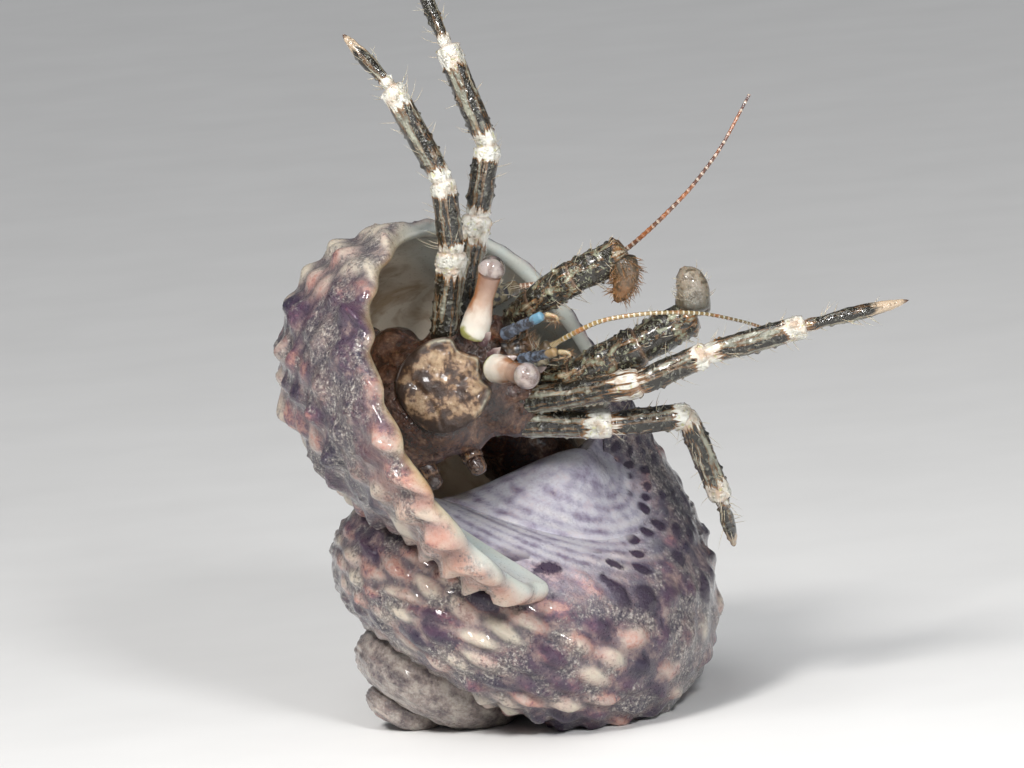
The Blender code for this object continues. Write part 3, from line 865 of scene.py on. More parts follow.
# %% Armour finishes
def armour_finish(name, dark, pale, band, stripe=0.7, tip_colour=(0.48, 0.37, 0.26)):
    """Dark armour with pale streaks; stripe 1 gives clean stripes, 0 a mottle."""
    finish, shader = new_finish(name, 0.30, coat=1.0, scatter=0.12, scatter_mm=0.10,
        tint=(1.0, 0.75, 0.5))
    streaks = around(drawn_out(0.16, 9.0, 1.5))
    threads = around(drawn_out(0.055, 8.0, 1.0))
    patches = around(drawn_out(0.20, 1.6, 3.0, 0.6))
    tone = times(streaks, 2.3 * stripe)
    tone = plus(tone, threads, 0.9)
    tone = plus(tone, patches, 2.6 - 1.9 * stripe)
    tone = plus(tone, 0.34 + 0.08 * stripe)
    brown = tuple(0.6 * d + 0.4 * b for d, b in zip(dark, (0.26, 0.13, 0.05)))
    colour = ramp(tone, ((0.40, dark), (0.52, brown),
        (0.66, tuple(0.55 * d + 0.45 * p for d, p in zip(dark, pale))), (0.88, pale)))
    dots = ramp(mark("bump"), ((0.40, 0.0), (0.85, 0.8)))
    keep = ramp(tone, ((0.30, 0.30 - 0.2 * stripe), (0.60, 1.0)))
    colour = blend(times(dots, keep), colour, tuple(min(1.0, 1.25 * p) for p in pale))
    colour = tinted(colour, speckle(0.10, 3, 0.6, 0.4), 0.56, 0.62, tuple(1.1 * p for p in pale), 0.75
        - 0.5 * stripe)
    edge = plus(mark("band"), threads, 1.1)
    edge = plus(edge, streaks, 0.9)
    fringe = ramp(edge, ((0.28, 0.0), (0.42, 0.75), (0.52, 0.0)))
    colour = blend(fringe, colour, (0.24, 0.11, 0.035))
    band_colour = tinted(band, speckle(0.30, 3), 0.48, 0.68, (0.42, 0.30, 0.21), 0.9)
    band_colour = tinted(band_colour, drawn_out(0.14, 2.5, 3.0), 0.50, 0.66, (0.24, 0.23, 0.18), 0.7)
    band_colour = tinted(band_colour, speckle(0.09, 2), 0.60, 0.68, (0.42, 0.42, 0.14), 0.6)
    colour = tinted(colour, edge, 0.44, 0.58, band_colour, 0.95)
    tip_share = plus(mark("far"), streaks, 1.4)
    colour = tinted(colour, tip_share, 0.45, 0.75, tip_colour, 0.9)
    colour = blend(times(mark("seam"), 0.4), colour, (0.34, 0.20, 0.12))
    colour = blend(mark("horn"), colour, (0.09, 0.04, 0.02))
    knobs = cells(0.085)
    knobs = ramp(knobs, ((0.0, 1.0), (0.45, 0.0)))
    relief = times(speckle(0.03, 3, 0.7), 0.6)
    relief = plus(relief, knobs, 1.3)
    colour_and_bump(shader, colour, relief, 0.022)
    join(plus(0.09, speckle(0.08, 2), 0.20), shader.inputs["Roughness"])
    return finish


OFF_WHITE = (0.64, 0.63, 0.57)
leg_finish = armour_finish("striped_leg_armour", (0.012, 0.010, 0.006), (0.27, 0.27, 0.21), OFF_WHITE,
    stripe=0.85)
claw_finish = armour_finish("mottled_claw_armour", (0.014, 0.011, 0.006), (0.27, 0.28, 0.19),
    (0.32, 0.29, 0.21), stripe=0.30)
# The small legs under the body get only dark browns: painted shade.
shaded_small_leg_finish = armour_finish("shaded_small_leg_armour", (0.030, 0.014, 0.010), (0.13, 0.08, 0.055),
    (0.16, 0.11, 0.075), stripe=0.4)

# %% [markdown]
# ## Walking legs
# Two long legs on each side. The left pair stands up together; the right pair reaches out, the
# hinder one folded down over the shell's side. Widths shrink outward, length by length.

# %% Walking legs
LEGS = {
    "left_leg_2": ([(0.25, 0.40, -0.58), (1.65, 1.88, 0.40), (2.37, 3.10, 0.70),
                    (2.71, 5.22, 0.90), (2.60, 6.62, 0.80)],
                   ((0.0, 1.0), (0.8, 1.0), (0.9, 1.0), (1.1, 0.0))),
    "left_leg_3": ([(0.65, 0.45, -1.15), (2.50, 2.16, -0.70), (3.53, 3.13, -0.50),
                    (4.10, 5.22, -0.35), (4.53, 6.80, -0.40)],
                   ((0.0, 1.0), (0.8, 1.0), (0.9, 1.1), (1.1, 0.0))),
    "right_leg_2": ([(0.45, -1.10, -0.92), (3.02, -2.50, 0.25), (4.41, -2.86, 0.45),
                     (6.30, -3.63, 0.55), (8.25, -4.50, 0.35)],
                    ((0.0, 0.6), (0.4, 0.8), (0.8, 1.1), (0.5, 0.0))),
    "right_leg_3": ([(0.05, -1.20, -0.95), (2.05, -2.80, -0.74), (3.35, -3.60, -1.10),
                     (2.88, -5.35, -1.80), (2.50, -6.32, -3.08)],
                    ((0.0, 0.8), (0.5, 0.8), (0.7, 0.9), (0.5, 0.0))),
}
LEG_WIDTHS = ((0.27, 0.30), (0.26, 0.26), (0.235, 0.245), (0.155, 0.05))
LEG_LENGTHS = ("merus", "carpus", "propodus", "dactyl")
limbs = {}
for at, (leg, (joints, bands)) in enumerate(LEGS.items()):
    piece, *facts = limb_piece(leg + "_skin", joints, LEG_WIDTHS, bands, curve=0.10, seed=40 + 10 * at)
    limbs[leg] = facts
    hand_over(piece, leg_finish, "leg_plate", *[f"{leg}_{part}" for part in LEG_LENGTHS])

# %% [markdown]
# ## Small gripping legs
# Behind the walking legs come two short pairs. Their blunt tips carry a rasp of scales that holds
# on to the inside of the shell, so their grains are finer and closer. They sit under the body, and
# their armour is dark brown, darker than the walking legs, as painted shade.

# %% Gripping legs
SMALL_LEGS = {
    "left_leg_4": [(-0.45, 1.10, -1.30), (-0.62, 1.46, -1.20), (-0.75, 1.78, -1.15)],
    "right_leg_4": [(-0.50, -1.32, -1.10), (-0.57, -1.66, -0.88), (-0.62, -1.98, -0.72)],
    "left_leg_5": [(-1.45, 1.15, -1.70), (-1.62, 1.47, -1.70), (-1.75, 1.78, -1.75)],
    "right_leg_5": [(-1.40, -1.10, -0.95), (-1.46, -1.40, -0.86), (-1.50, -1.68, -0.80)],
}
for at, (leg, joints) in enumerate(SMALL_LEGS.items()):
    piece, *facts = limb_piece(leg + "_skin", joints, ((0.24, 0.21), (0.20, 0.15)),
        ((0.0, 0.3), (0.2, 0.2)), tip=False, grain=0.08, lift=0.022, columns=28, seed=90 + at)
    hand_over(piece, shaded_small_leg_finish, "leg_plate", leg)

# %% [markdown]
# ## Claws
# The claws are the front pair of legs, heavier and rougher, and their last length ends in a pair
# of fingers. The palm is broad and blunt. Each finger is a short curved cone, brown on the left
# claw and tan on the right, and the two fingers of a claw nearly close.

# %% Claw arms and fingers
CLAWS = {
    "left_claw": ([(1.62, 0.00, -1.25), (2.37, 0.08, -0.05), (3.28, -0.02, 0.35),
                   (4.40, -0.27, 0.62)], ((0.27, 0.32), (0.32, 0.36), (0.35, 0.33))),
    "right_claw": ([(1.00, -1.14, -1.38), (2.06, -1.60, -0.58), (3.47, -1.92, -0.20),
                    (4.74, -2.10, -0.20)], ((0.28, 0.35), (0.37, 0.42), (0.40, 0.36))),
}
for at, (claw, (joints, widths)) in enumerate(CLAWS.items()):
    piece, *facts = limb_piece(claw + "_skin", joints, widths, ((0.0, 0.2), (0.1, 0.2), (0.1, 0.45)),
        flat=0.95, grain=0.17, lift=0.060, tip=False, columns=56, soft=0.26, seed=120 + 9 * at)
    limbs[claw] = facts
    hand_over(piece, claw_finish, "claw_plate",
        *[f"{claw}_{part}" for part in ("merus", "carpus", "palm")])


def finger_finish(name, near, tip_colour):
    """Translucent horn, another colour towards the tip, with a few brown flecks."""
    finish, shader = new_finish(name, 0.28, coat=0.7, scatter=0.35, scatter_mm=0.2)
    along = unwrap()
    share = plus(along.outputs["Y"], around(speckle(0.2)), 0.5)
    colour = ramp(share, ((0.02, tuple(0.2 * c for c in near)), (0.22, near), (0.75, tip_colour)))
    flecks = ramp(speckle(0.13, 4), ((0.50, 0.0), (0.60, 0.8)))
    colour = blend(flecks, colour, (0.055, 0.040, 0.022))
    colour = tinted(colour, mark("bump"), 0.35, 0.8, tuple(min(1.0, 1.5 * c) for c in tip_colour), 0.7)
    colour_and_bump(shader, colour, speckle(0.05, 4), 0.02)
    return finish


FINGERS = {
    "left_claw": ([(4.20, -0.30, 0.62), (4.12, -0.68, 0.58), (3.62, -0.92, 0.50)],
                  (0.03, 0.04, 0.14), 0.95, finger_finish("brown_finger", (0.07, 0.05, 0.028),
                                                          (0.20, 0.10, 0.04))),
    "right_claw": ([(4.66, -2.06, -0.18), (5.00, -1.70, -0.12), (5.08, -1.20, -0.08)],
                   (0.02, 0.03, 0.15), 1.25, finger_finish("tan_finger", (0.11, 0.10, 0.075),
                                                           (0.24, 0.20, 0.15))),
}
for at, (claw, (joints, apart, stout, finish)) in enumerate(FINGERS.items()):
    for side, sign in (("fixed", 1), ("moving", -1)):
        offset = np.array(apart) * sign
        path, count = eased_path(np.array(joints) + offset, 0.3)
        path = path - offset * (ease((count - 1.2) / 0.8) * 0.75)[:, None]
        half = stout * np.interp(count, (0, 0.25, 0.9, 1.5, 1.8, 2.0),
            (0.26, 0.29, 0.27, 0.22, 0.15, 0.05))
        half = round_ends(path, half, 1.0, 0.0)
        grid, out = sweep(path, half, half * 0.85, 28)
        bumps = grains(grid, 0.13, 150 + at, 0.6)
        grid = grid + out * (0.025 * bumps + 0.015 * noise(grid, 0.25, 160 + at))[..., None]
        piece = grid_mesh(f"{claw}_{side}_finger", crab(grid), marks={"bump": bumps})
        limbs[f"{claw}_{side}"] = (grid, out, count)
        hand_over(piece, finish, "claw_finger", f"{claw}_finger")

# %% [markdown]
# ## The shield
# The hard front half of the crab's back is one plate, about as long as it is wide. Its front edge
# has a small beak in the middle with a hollow for each eye beside it. A pale rim follows the edge,
# a curved groove marks off the rear, and the top is mottled and pitted. It is drawn as rings that
# grow from the middle of the top to the edge and shrink again underneath.

# %% Shield plate
SHIELD_AT = np.array((-0.10, -0.12, 0.0))


def shield_outline(turn):
    """Edge of the plate at each angle, 0 being straight ahead, as x and y."""
    cos, sin = np.cos(turn), np.sin(turn)
    x = np.sign(cos) * np.abs(cos) ** 0.75 * np.where(cos > 0, 0.78, 0.94)
    y = np.sign(sin) * np.abs(sin) ** 0.80 * (0.92 - 0.06 * np.clip(-cos, 0, 1))
    front = ease((x - 0.35) / 0.2)
    beak = 0.10 * np.exp(-(y / 0.12) ** 2)
    orbit = -0.09 * np.exp(-((np.abs(y) - 0.36) / 0.17) ** 2)
    corner = 0.06 * np.exp(-((np.abs(y) - 0.68) / 0.12) ** 2)
    return x + front * (beak + orbit + corner), y


def shield_grid():
    columns = 180
    turn = 2 * np.pi * np.arange(columns) / columns
    edge = np.stack(shield_outline(turn), axis=-1)
    top = np.sin(np.linspace(0.03, 1, 70) * np.pi / 2)
    under = np.linspace(0.97, 0.05, 16)
    share = np.concatenate([top, under])[:, None]
    is_top = (np.arange(len(share)) < len(top))[:, None]
    x, y = edge[:, 0] * share, edge[:, 1] * share
    dome = 0.24 * np.sqrt(np.clip(1 - share ** 2.2, 0, 1)) - 0.02
    z = np.where(is_top, dome, -0.14 - 0.20 * np.sqrt(np.clip(1 - share ** 2, 0, 1)))
    z = z * np.ones_like(x)
    flat = np.stack([x, y, np.zeros_like(x)], axis=-1)
    groove = np.exp(-((x + 0.42 + 0.35 * y ** 2) / 0.05) ** 2) * (np.abs(y) < 0.75)
    side_groove = np.exp(-((np.abs(y) - 0.52 - 0.12 * x) / 0.045) ** 2) * ease((x + 0.5) / 0.2)
    rim = np.exp(-((share - 0.93) / 0.035) ** 2) * np.ones_like(x)
    ditch = np.exp(-((share - 0.84) / 0.04) ** 2) * ease((x - 0.1) / 0.3)
    lumps = 0.045 * noise(flat, 0.42, 61) + 0.022 * noise(flat, 0.16, 62)
    pits = grains(flat, 0.11, 63, 0.5, 0.40)
    relief = 1.1 * lumps + 0.018 * rim * ease((x + 0.1) / 0.5) + 0.024 * pits
    relief = relief - 0.018 * groove - 0.018 * side_groove - 0.018 * ditch
    z = z + np.where(is_top, relief * ease((1 - share) / 0.05), 0)
    marks = {"rim": np.where(is_top, rim, 0) * ease((x + 0.1) / 0.5), "bump": pits,
        "edge": ease((share - 0.72) / 0.28) * ease((0.3 - x) / 0.5),
        "groove": np.clip(groove + side_groove * 0.6 + ditch, 0, 1)}
    return np.stack([x, y, z], axis=-1) + SHIELD_AT, marks


def plate_finish():
    finish, shader = new_finish("mottled_shield", 0.34, coat=0.35, scatter=0.15, scatter_mm=0.15)
    patch = plus(speckle(0.55, 4, 0.6, 0.5), around(speckle(0.13, 3)), 0.5)
    patch = minus(patch, mark("edge"), 0.14)
    colour = ramp(patch, ((0.43, (0.030, 0.014, 0.008)), (0.52, (0.075, 0.038, 0.020)),
        (0.56, (0.20, 0.12, 0.065)), (0.70, (0.40, 0.29, 0.18))))
    dots = ramp(mark("bump"), ((0.50, 0.0), (0.85, 0.85)))
    scattered = ramp(speckle(0.5, 1), ((0.30, 0.2), (0.46, 1.0)))
    colour = blend(times(dots, scattered), colour, (0.66, 0.58, 0.44))
    colour = blend(times(mark("groove"), 0.25), colour, (0.045, 0.025, 0.015))
    worn_rim = times(mark("rim"), ramp(speckle(0.12, 3), ((0.38, 0.15), (0.62, 0.9))))
    colour = blend(worn_rim, colour, (0.36, 0.34, 0.26))
    relief = plus(speckle(0.04, 4, 0.7), speckle(0.15, 2))
    colour_and_bump(shader, colour, relief, 0.018)
    join(plus(0.24, speckle(0.07, 2), 0.28), shader.inputs["Roughness"])
    return finish


shield_points, shield_marks = shield_grid()
shield_plate = plate_finish()
shield = grid_mesh("shield_skin", crab(shield_points), marks=shield_marks)
hand_over(shield, shield_plate, "shield_plate", "shield")

# %% [markdown]
# ## One soft skin
# Below and behind the shield the crab is soft: the underside, the thin rear carapace and the long
# abdomen that follows the shell's coil. It is one skin with no seams, so rough bodies are joined,
# wrapped in a voxel skin and smoothed. That needs whole millimetres, because voxels can't be
# smaller than a tenth of a unit. Wrinkles are added last.

# %% Soft skin
VOXEL = 0.10             # mm; smaller than this is not allowed


def ball(centre, sizes, matrix=CRAB_FRAME):
    """Grid of an ellipsoid in world mm."""
    lat = np.radians(np.linspace(-88, 88, 24))[:, None]
    lon = 2 * np.pi * np.arange(32) / 32
    unit = np.stack([np.cos(lat) * np.cos(lon), np.cos(lat) * np.sin(lon), np.sin(lat)
        * np.ones_like(lon)], axis=-1)
    return placed(unit * sizes + centre, matrix)


def tube_middle():
    """Centre of the hollow's section, as an offset from the tube's centre."""
    half = hollow_half(PHI, DEEP_COVER)
    out, tip = section(PHI, half)
    return out.mean(), tip.mean()


middle_out, middle_tip = tube_middle()
coil_turns = np.linspace(-0.10, -0.80, 8)
inner_coil = placed(coil_local(coil_turns, middle_out, middle_tip), SHELL_FRAME)
belly_route = np.concatenate([crab([(-1.16, -0.13, -0.62), (-1.42, -0.08, -1.30), (-1.15, 0.05, -2.10),
    (-0.55, 0.22, -2.95)]), inner_coil])
belly_path, belly_count = eased_path(belly_route, 0.6)
belly_half = np.interp(belly_count, (0, 1, 2, 3, 5, 7, 9, 11),
    (0.55, 0.72, 0.74, 0.82, 1.0, 0.85, 0.62, 0.40))
belly_grid, _ = sweep(belly_path, round_ends(belly_path, belly_half), belly_half * 0.98, 36)
BULGES = (
    ((0.00, -0.12, -0.62), (1.00, 0.98, 0.46)), ((-0.62, 0.42, -0.62), (0.78, 0.66, 0.52)),
    ((-0.62, -0.66, -0.62), (0.78, 0.66, 0.52)), ((-0.95, -0.12, -0.55), (0.62, 0.86, 0.50)),
    ((-1.15, 0.40, -0.80), (0.60, 0.85, 0.60)), ((-0.55, 1.05, -0.95), (0.65, 0.50, 0.50)),
    ((-1.45, -0.45, -0.95), (0.60, 0.75, 0.60)), ((0.55, 0.35, -0.75), (0.52, 0.52, 0.36)),
    ((0.45, -0.75, -0.70), (0.60, 0.66, 0.38)), ((0.50, -1.20, -0.84), (0.56, 0.60, 0.30)),
    ((0.60, 0.66, -0.60), (0.42, 0.40, 0.34)), ((-0.35, 0.85, -1.15), (0.40, 0.42, 0.32)),
    ((-0.35, -1.10, -0.90), (0.60, 0.52, 0.36)), ((-1.20, 0.72, -1.50), (0.42, 0.55, 0.40)),
    ((-1.15, -0.72, -0.98), (0.60, 0.62, 0.46)), ((0.95, -0.30, -0.60), (0.40, 0.62, 0.34)),
    ((1.30, 0.10, -1.10), (0.45, 0.40, 0.34)), ((0.95, -1.40, -0.95), (0.60, 0.40, 0.26)),
    ((1.02, -1.36, -0.72), (0.44, 0.34, 0.38)), ((0.62, -1.62, -0.92), (0.44, 0.34, 0.36)),
    ((0.60, 0.72, -0.42), (0.34, 0.34, 0.30)),
)


def soft_skin():
    parts = [grid_mesh("rough", grid) for grid in [belly_grid]
        + [ball(centre, sizes) for centre, sizes in BULGES]]
    joined = bmesh.new()
    for part in parts:
        joined.from_mesh(part.data)
        bpy.data.objects.remove(part)
    mesh = bpy.data.meshes.new("soft_skin")
    joined.to_mesh(mesh)
    joined.free()
    piece = show("soft_skin", mesh)
    wrap = piece.modifiers.new("wrap", "REMESH")
    wrap.mode = "VOXEL"
    wrap.voxel_size = VOXEL
    calm = piece.modifiers.new("calm", "SMOOTH")
    calm.factor, calm.iterations = 0.6, 16
    fine = piece.modifiers.new("fine", "SUBSURF")
    fine.levels = fine.render_levels = 1
    graph = bpy.context.evaluated_depsgraph_get()
    skinned = bpy.data.meshes.new_from_object(piece.evaluated_get(graph))
    piece.modifiers.clear()
    piece.data = skinned
    return piece


def wrinkle(piece, depth):
    """Pushes points in and out along their normals by layered noise."""
    mesh = piece.data
    points = np.empty(len(mesh.vertices) * 3)
    ways = np.empty_like(points)
    mesh.vertices.foreach_get("co", points)
    mesh.vertices.foreach_get("normal", ways)
    points, ways = points.reshape(-1, 3), ways.reshape(-1, 3)
    folds = noise(points * (1, 1, 2.2), 0.30, 71) + 0.5 * noise(points, 0.13, 72)
    mesh.vertices.foreach_set("co", (points + ways * (depth * folds)[:, None]).ravel())
    mesh.shade_smooth()


def skin_finish():
    finish, shader = new_finish("wet_brown_skin", 0.18, coat=1.0, scatter=0.2, scatter_mm=0.2,
        tint=(1.0, 0.4, 0.2))
    tone = plus(speckle(0.45, 5, 0.65, 1.2), speckle(0.07, 4, 0.7), 0.5)
    colour = ramp(tone, ((0.60, (0.016, 0.006, 0.004)), (0.76, (0.048, 0.017, 0.009)),
        (0.88, (0.110, 0.052, 0.028)), (1.0, (0.22, 0.15, 0.10))))
    relief = plus(speckle(0.05, 4, 0.6), speckle(0.2, 2))
    colour_and_bump(shader, colour, relief, 0.035)
    return finish


body_skin = soft_skin()
wrinkle(body_skin, 0.022)
hand_over(body_skin, skin_finish(), "soft_skin", "thorax", "carapace_rear", "abdomen_front",
    "abdomen_middle", "abdomen_rear", "abdomen_tip")

# %% [markdown]
# ## Tail fan
# At the far end of the abdomen, deep in the coil, a small fan of plates hooks round the shell's
# pillar. It never shows from outside, yet a whole animal has one.

# %% Tail fan
tail_way = unit(inner_coil[-1] - inner_coil[-2])
tail_path, tail_count = eased_path([inner_coil[-1] - tail_way * 0.1, inner_coil[-1] + tail_way * 0.35,
    inner_coil[-1] + tail_way * 0.75], 0.2)
tail_half = np.interp(tail_count, (0, 0.6, 1.4, 2), (0.20, 0.34, 0.40, 0.22))
tail_grid, tail_out = sweep(tail_path, round_ends(tail_path, tail_half), tail_half * 0.45, 40)
tail_grid = tail_grid + tail_out * (0.02 * grains(tail_grid, 0.10, 81))[..., None]
tail = grid_mesh("tail_fan_skin", tail_grid,
    marks={"bump": grains(tail_grid, 0.10, 81), "rim": 0.0, "groove": 0.0, "edge": 0.0})
hand_over(tail, shield_plate, "shield_plate", "tail_fan")

# %% [markdown]
# ## Eyes
# Each eye sits on a stalk with a slight waist. The stalk is ivory at its foot and pinkish tan
# above, with an orange brown stripe down two sides and a yellow-green dab at the foot. The cornea
# is a clear dome over a grey-pink pigment ball, so it is built as two pieces: the inner ball holds
# the colour and the outer one bends the light.

# %% Stalks and corneas
CORNEA = 0.27
EYES = {"left": ((1.03, 0.36, 0.30), (2.06, 1.12, 0.85)),
        "right": ((0.92, -0.50, 0.42), (1.30, -0.99, 1.62))}


def stalk_finish():
    finish, shader = new_finish("ivory_stalk", 0.25, coat=0.8, scatter=0.35, scatter_mm=0.2,
        tint=(1.0, 0.6, 0.45))
    place = unwrap()
    wobble = around(speckle(0.3), 0.45)
    height = plus(place.outputs["Y"], wobble)
    colour = ramp(height, ((0.03, (0.26, 0.26, 0.08)), (0.12, (0.62, 0.60, 0.53)),
        (0.36, (0.56, 0.50, 0.43)), (0.58, (0.40, 0.28, 0.21)), (0.95, (0.24, 0.14, 0.10))))
    side = plus(place.outputs["X"], wobble, 0.3)
    stripe = plus(ramp(side, ((0.13, 0.0), (0.20, 1.0), (0.28, 1.0), (0.35, 0.0))),
        ramp(side, ((0.60, 0.0), (0.66, 1.0), (0.74, 1.0), (0.80, 0.0))))
    stripe = times(stripe, ramp(height, ((0.20, 0.0), (0.45, 0.85))))
    colour = blend(stripe, colour, (0.26, 0.10, 0.03))
    colour_and_bump(shader, colour, speckle(0.04, 3), 0.006)
    return finish


def cornea_finish():
    finish, shader = new_finish("clear_cornea", 0.03, coat=1.0)
    shader.inputs["Base Color"].default_value = (1.0, 0.95, 0.92, 1.0)
    shader.inputs["Transmission Weight"].default_value = 0.97
    shader.inputs["IOR"].default_value = 1.36
    facets = cells(0.022)
    bump = add("Bump", Height=facets, Distance=0.0008 * MM, Strength=0.5)
    join(bump.outputs["Normal"], shader.inputs["Normal"])
    return finish


def pigment_finish():
    finish, shader = new_finish("eye_pigment", 0.35, coat=0.3, scatter=0.2, scatter_mm=0.08)
    facets = cells(0.03)
    colour = ramp(facets, ((0.0, (0.42, 0.33, 0.31)), (0.6, (0.20, 0.13, 0.12))))
    colour = tinted(colour, speckle(0.20, 2), 0.40, 0.58, (0.62, 0.56, 0.53), 0.85)
    colour_and_bump(shader, colour, facets, 0.003)
    return finish


stalk_skin, cornea_skin, pigment_skin = stalk_finish(), cornea_finish(), pigment_finish()
for side, (foot, eye) in EYES.items():
    foot, eye = np.array(foot), np.array(eye)
    way = unit(eye - foot)
    path, count = eased_path([foot - way * 0.12, eye - way * 0.10], 0.1)
    half = np.interp(count, (0, 0.08, 0.3, 0.62, 0.85, 0.96, 1.0),
        (0.26, 0.30, 0.285, 0.205, 0.220, 0.235, 0.19))
    grid, out = sweep(path, half, half * 0.95, 40)
    stalk = grid_mesh(f"{side}_stalk_skin", crab(grid))
    hand_over(stalk, stalk_skin, "eyestalk_skin", f"{side}_eyestalk")
    limbs[f"{side}_stalk"] = (grid, out, count)
    for label, size, back, finish in (("cornea_skin", CORNEA, 0.0, cornea_skin),
            ("pigment", CORNEA * 0.70, 0.05, pigment_skin)):
        lift = np.linspace(-0.86, 0.999, 40) if label == "cornea_skin" else np.linspace(-0.9, 0.999, 32)
        path = eye + way * (size * np.sin(lift * np.pi / 2) - back)[:, None]
        half = size * np.cos(lift * np.pi / 2) + 1e-4
        grid, _ = sweep(path, half, half, 40)
        dome = grid_mesh(f"{side}_{label}", crab(grid))
        hand_over(dome, finish, "cornea", *([f"{side}_cornea"] if label == "cornea_skin" else []))

# %% [markdown]
# ## Scales at the foot of the eyes
# In front of the shield, at the foot of each stalk, stand small pointed scales, dark and glossy.
# They are flat cones that overlap the stalks, and a second pair guards the long feelers.

# %% Pointed scales
SCALES = {
    "left_inner": ((0.92, 0.06, 0.26), (1.28, 0.14, 0.56), 0.13),
    "left_outer": ((0.94, 0.20, 0.22), (1.40, 0.34, 0.42), 0.14),
    "right_inner": ((0.90, -0.26, 0.28), (1.24, -0.22, 0.60), 0.13),
    "right_outer": ((0.92, -0.42, 0.22), (1.38, -0.56, 0.44), 0.14),
    "left_guard": ((1.30, 0.62, -0.20), (1.86, 0.86, -0.16), 0.15),
    "right_guard": ((1.16, -0.92, -0.30), (1.72, -1.10, 0.06), 0.15),
}


def scale_finish():
    finish, shader = new_finish("dark_scale", 0.18, coat=1.0, scatter=0.15, scatter_mm=0.08,
        tint=(0.9, 0.4, 0.6))
    along = unwrap()
    colour = ramp(along.outputs["Y"], ((0.0, (0.045, 0.018, 0.026)), (0.55, (0.09, 0.05, 0.055)),
        (0.90, (0.30, 0.24, 0.22))))
    colour = tinted(colour, speckle(0.05, 3), 0.55, 0.70, (0.32, 0.28, 0.27), 0.6)
    colour_and_bump(shader, colour, speckle(0.06, 3), 0.010)
    return finish


scale_skin = scale_finish()
for label, (foot, point, half) in SCALES.items():
    path, count = eased_path([foot, point], 0.05)
    size = half * np.interp(count, (0, 0.25, 0.6, 0.85, 1.0), (0.6, 1.0, 0.75, 0.35, 0.04))
    grid, out = sweep(path, size, size * 0.45, 24)
    grid = grid + out * (0.012 * noise(grid, 0.08, 190))[..., None]
    hand_over(grid_mesh(label + "_scale", crab(grid)), scale_skin, "head_skin")

# %% [markdown]
# ## Feelers and mouth
# Between the eyes stand the small first feelers, grey-blue with a sky-blue end on the left one and
# a golden end on the right one, each with a short curled whip. Beside them thicker stalks carry
# the long feelers. A long feeler is a chain of tiny rings that thins to a hair: rusty brown on the
# left, golden on the right, with pale rings. The jaw legs fold below, dark and bristly.

# %% Finishes for the head
def ringed_finish(name, low, high, rings, pale):
    """Rings along the whip, each with a pale front edge."""
    finish, shader = new_finish(name, 0.25, coat=0.7, scatter=0.25, scatter_mm=0.08)
    along = unwrap()
    wave = sums("COSINE", times(along.outputs["Y"], 2 * math.pi * rings), 0.0)
    base = tinted(low, along.outputs["Y"], 0.0, 1.0, high)
    colour = tinted(base, wave, 0.35, 0.85, pale, 0.75)
    colour = tinted(colour, speckle(0.35, 2), 0.50, 0.62, (0.30, 0.10, 0.03), 0.7)
    colour_and_bump(shader, colour, speckle(0.03, 2), 0.004)
    return finish


def head_finish(name, base, tip_colour):
    """Grey-blue hide with dark flecks, and another colour towards the end."""
    finish, shader = new_finish(name, 0.22, coat=0.9, scatter=0.3, scatter_mm=0.12,
        tint=(0.6, 0.8, 1.0))
    along = unwrap()
    flecks = ramp(speckle(0.14, 4), ((0.40, (0.03, 0.03, 0.035)), (0.58, base)))
    far = plus(along.outputs["Y"], around(speckle(0.15)), 0.5)
    colour = tinted(flecks, far, 0.74, 0.84, tip_colour, 0.9)
    colour_and_bump(shader, colour, speckle(0.05, 4), 0.01)
    return finish


blue_hide = head_finish("blue_grey_hide", (0.12, 0.15, 0.20), (0.12, 0.26, 0.35))
gold_hide = head_finish("blue_gold_hide", (0.12, 0.15, 0.20), (0.26, 0.17, 0.07))
brown_hide = head_finish("olive_hide", (0.20, 0.17, 0.11), (0.10, 0.07, 0.04))
jaw_hide = head_finish("jaw_hide", (0.16, 0.10, 0.06), (0.22, 0.12, 0.06))

# %% First feelers, feeler stalks and jaw legs
HEAD_PARTS = {
    "left_antennule": ([(1.40, -0.05, 0.16), (1.74, -0.12, 0.44), (2.04, -0.19, 0.68),
                        (2.30, -0.24, 0.90)], blue_hide, 0.115),
    "right_antennule": ([(1.38, -0.64, 0.18), (1.62, -0.76, 0.46), (1.84, -0.88, 0.74),
                         (2.06, -0.98, 0.99)], gold_hide, 0.105),
    "left_antenna_base": ([(1.40, 0.75, -0.36), (1.70, 0.68, -0.60), (1.98, 0.62, -0.84),
                           (2.26, 0.53, -1.08)], brown_hide, 0.19),
    "right_antenna_base": ([(1.22, -0.96, -0.44), (1.52, -0.90, -0.28), (1.80, -0.86, -0.12),
                            (2.10, -0.82, 0.04)], brown_hide, 0.20),
    "left_mouth_leg": ([(1.08, -0.28, -0.64), (1.34, -0.40, -0.66), (1.58, -0.50, -0.68),
                        (1.80, -0.60, -0.71)], jaw_hide, 0.21),
    "right_mouth_leg": ([(1.02, -0.57, -1.10), (1.34, -0.64, -1.14), (1.62, -0.70, -1.19),
                         (1.90, -0.74, -1.24)], jaw_hide, 0.21),
}
for at, (part, (joints, finish, half)) in enumerate(HEAD_PARTS.items()):
    widths = ((half * 1.12, half * 1.1), (half, half), (half * 0.92, half * 0.85))
    piece, *facts = limb_piece(part + "_skin", joints, widths, ((0, 0),) * 3, flat=0.9, grain=0.12,
        lift=0.012, tip=False, columns=28, soft=0.12, seed=170 + at)
    limbs[part] = facts
    hand_over(piece, finish, "head_skin", part)

# %% Long feelers and short whips
whip_gold = ringed_finish("golden_feeler", (0.32, 0.21, 0.07), (0.11, 0.08, 0.04), 56,
    (0.62, 0.62, 0.54))
whip_red = ringed_finish("rusty_feeler", (0.17, 0.085, 0.045), (0.075, 0.03, 0.022), 48,
    (0.50, 0.42, 0.34))


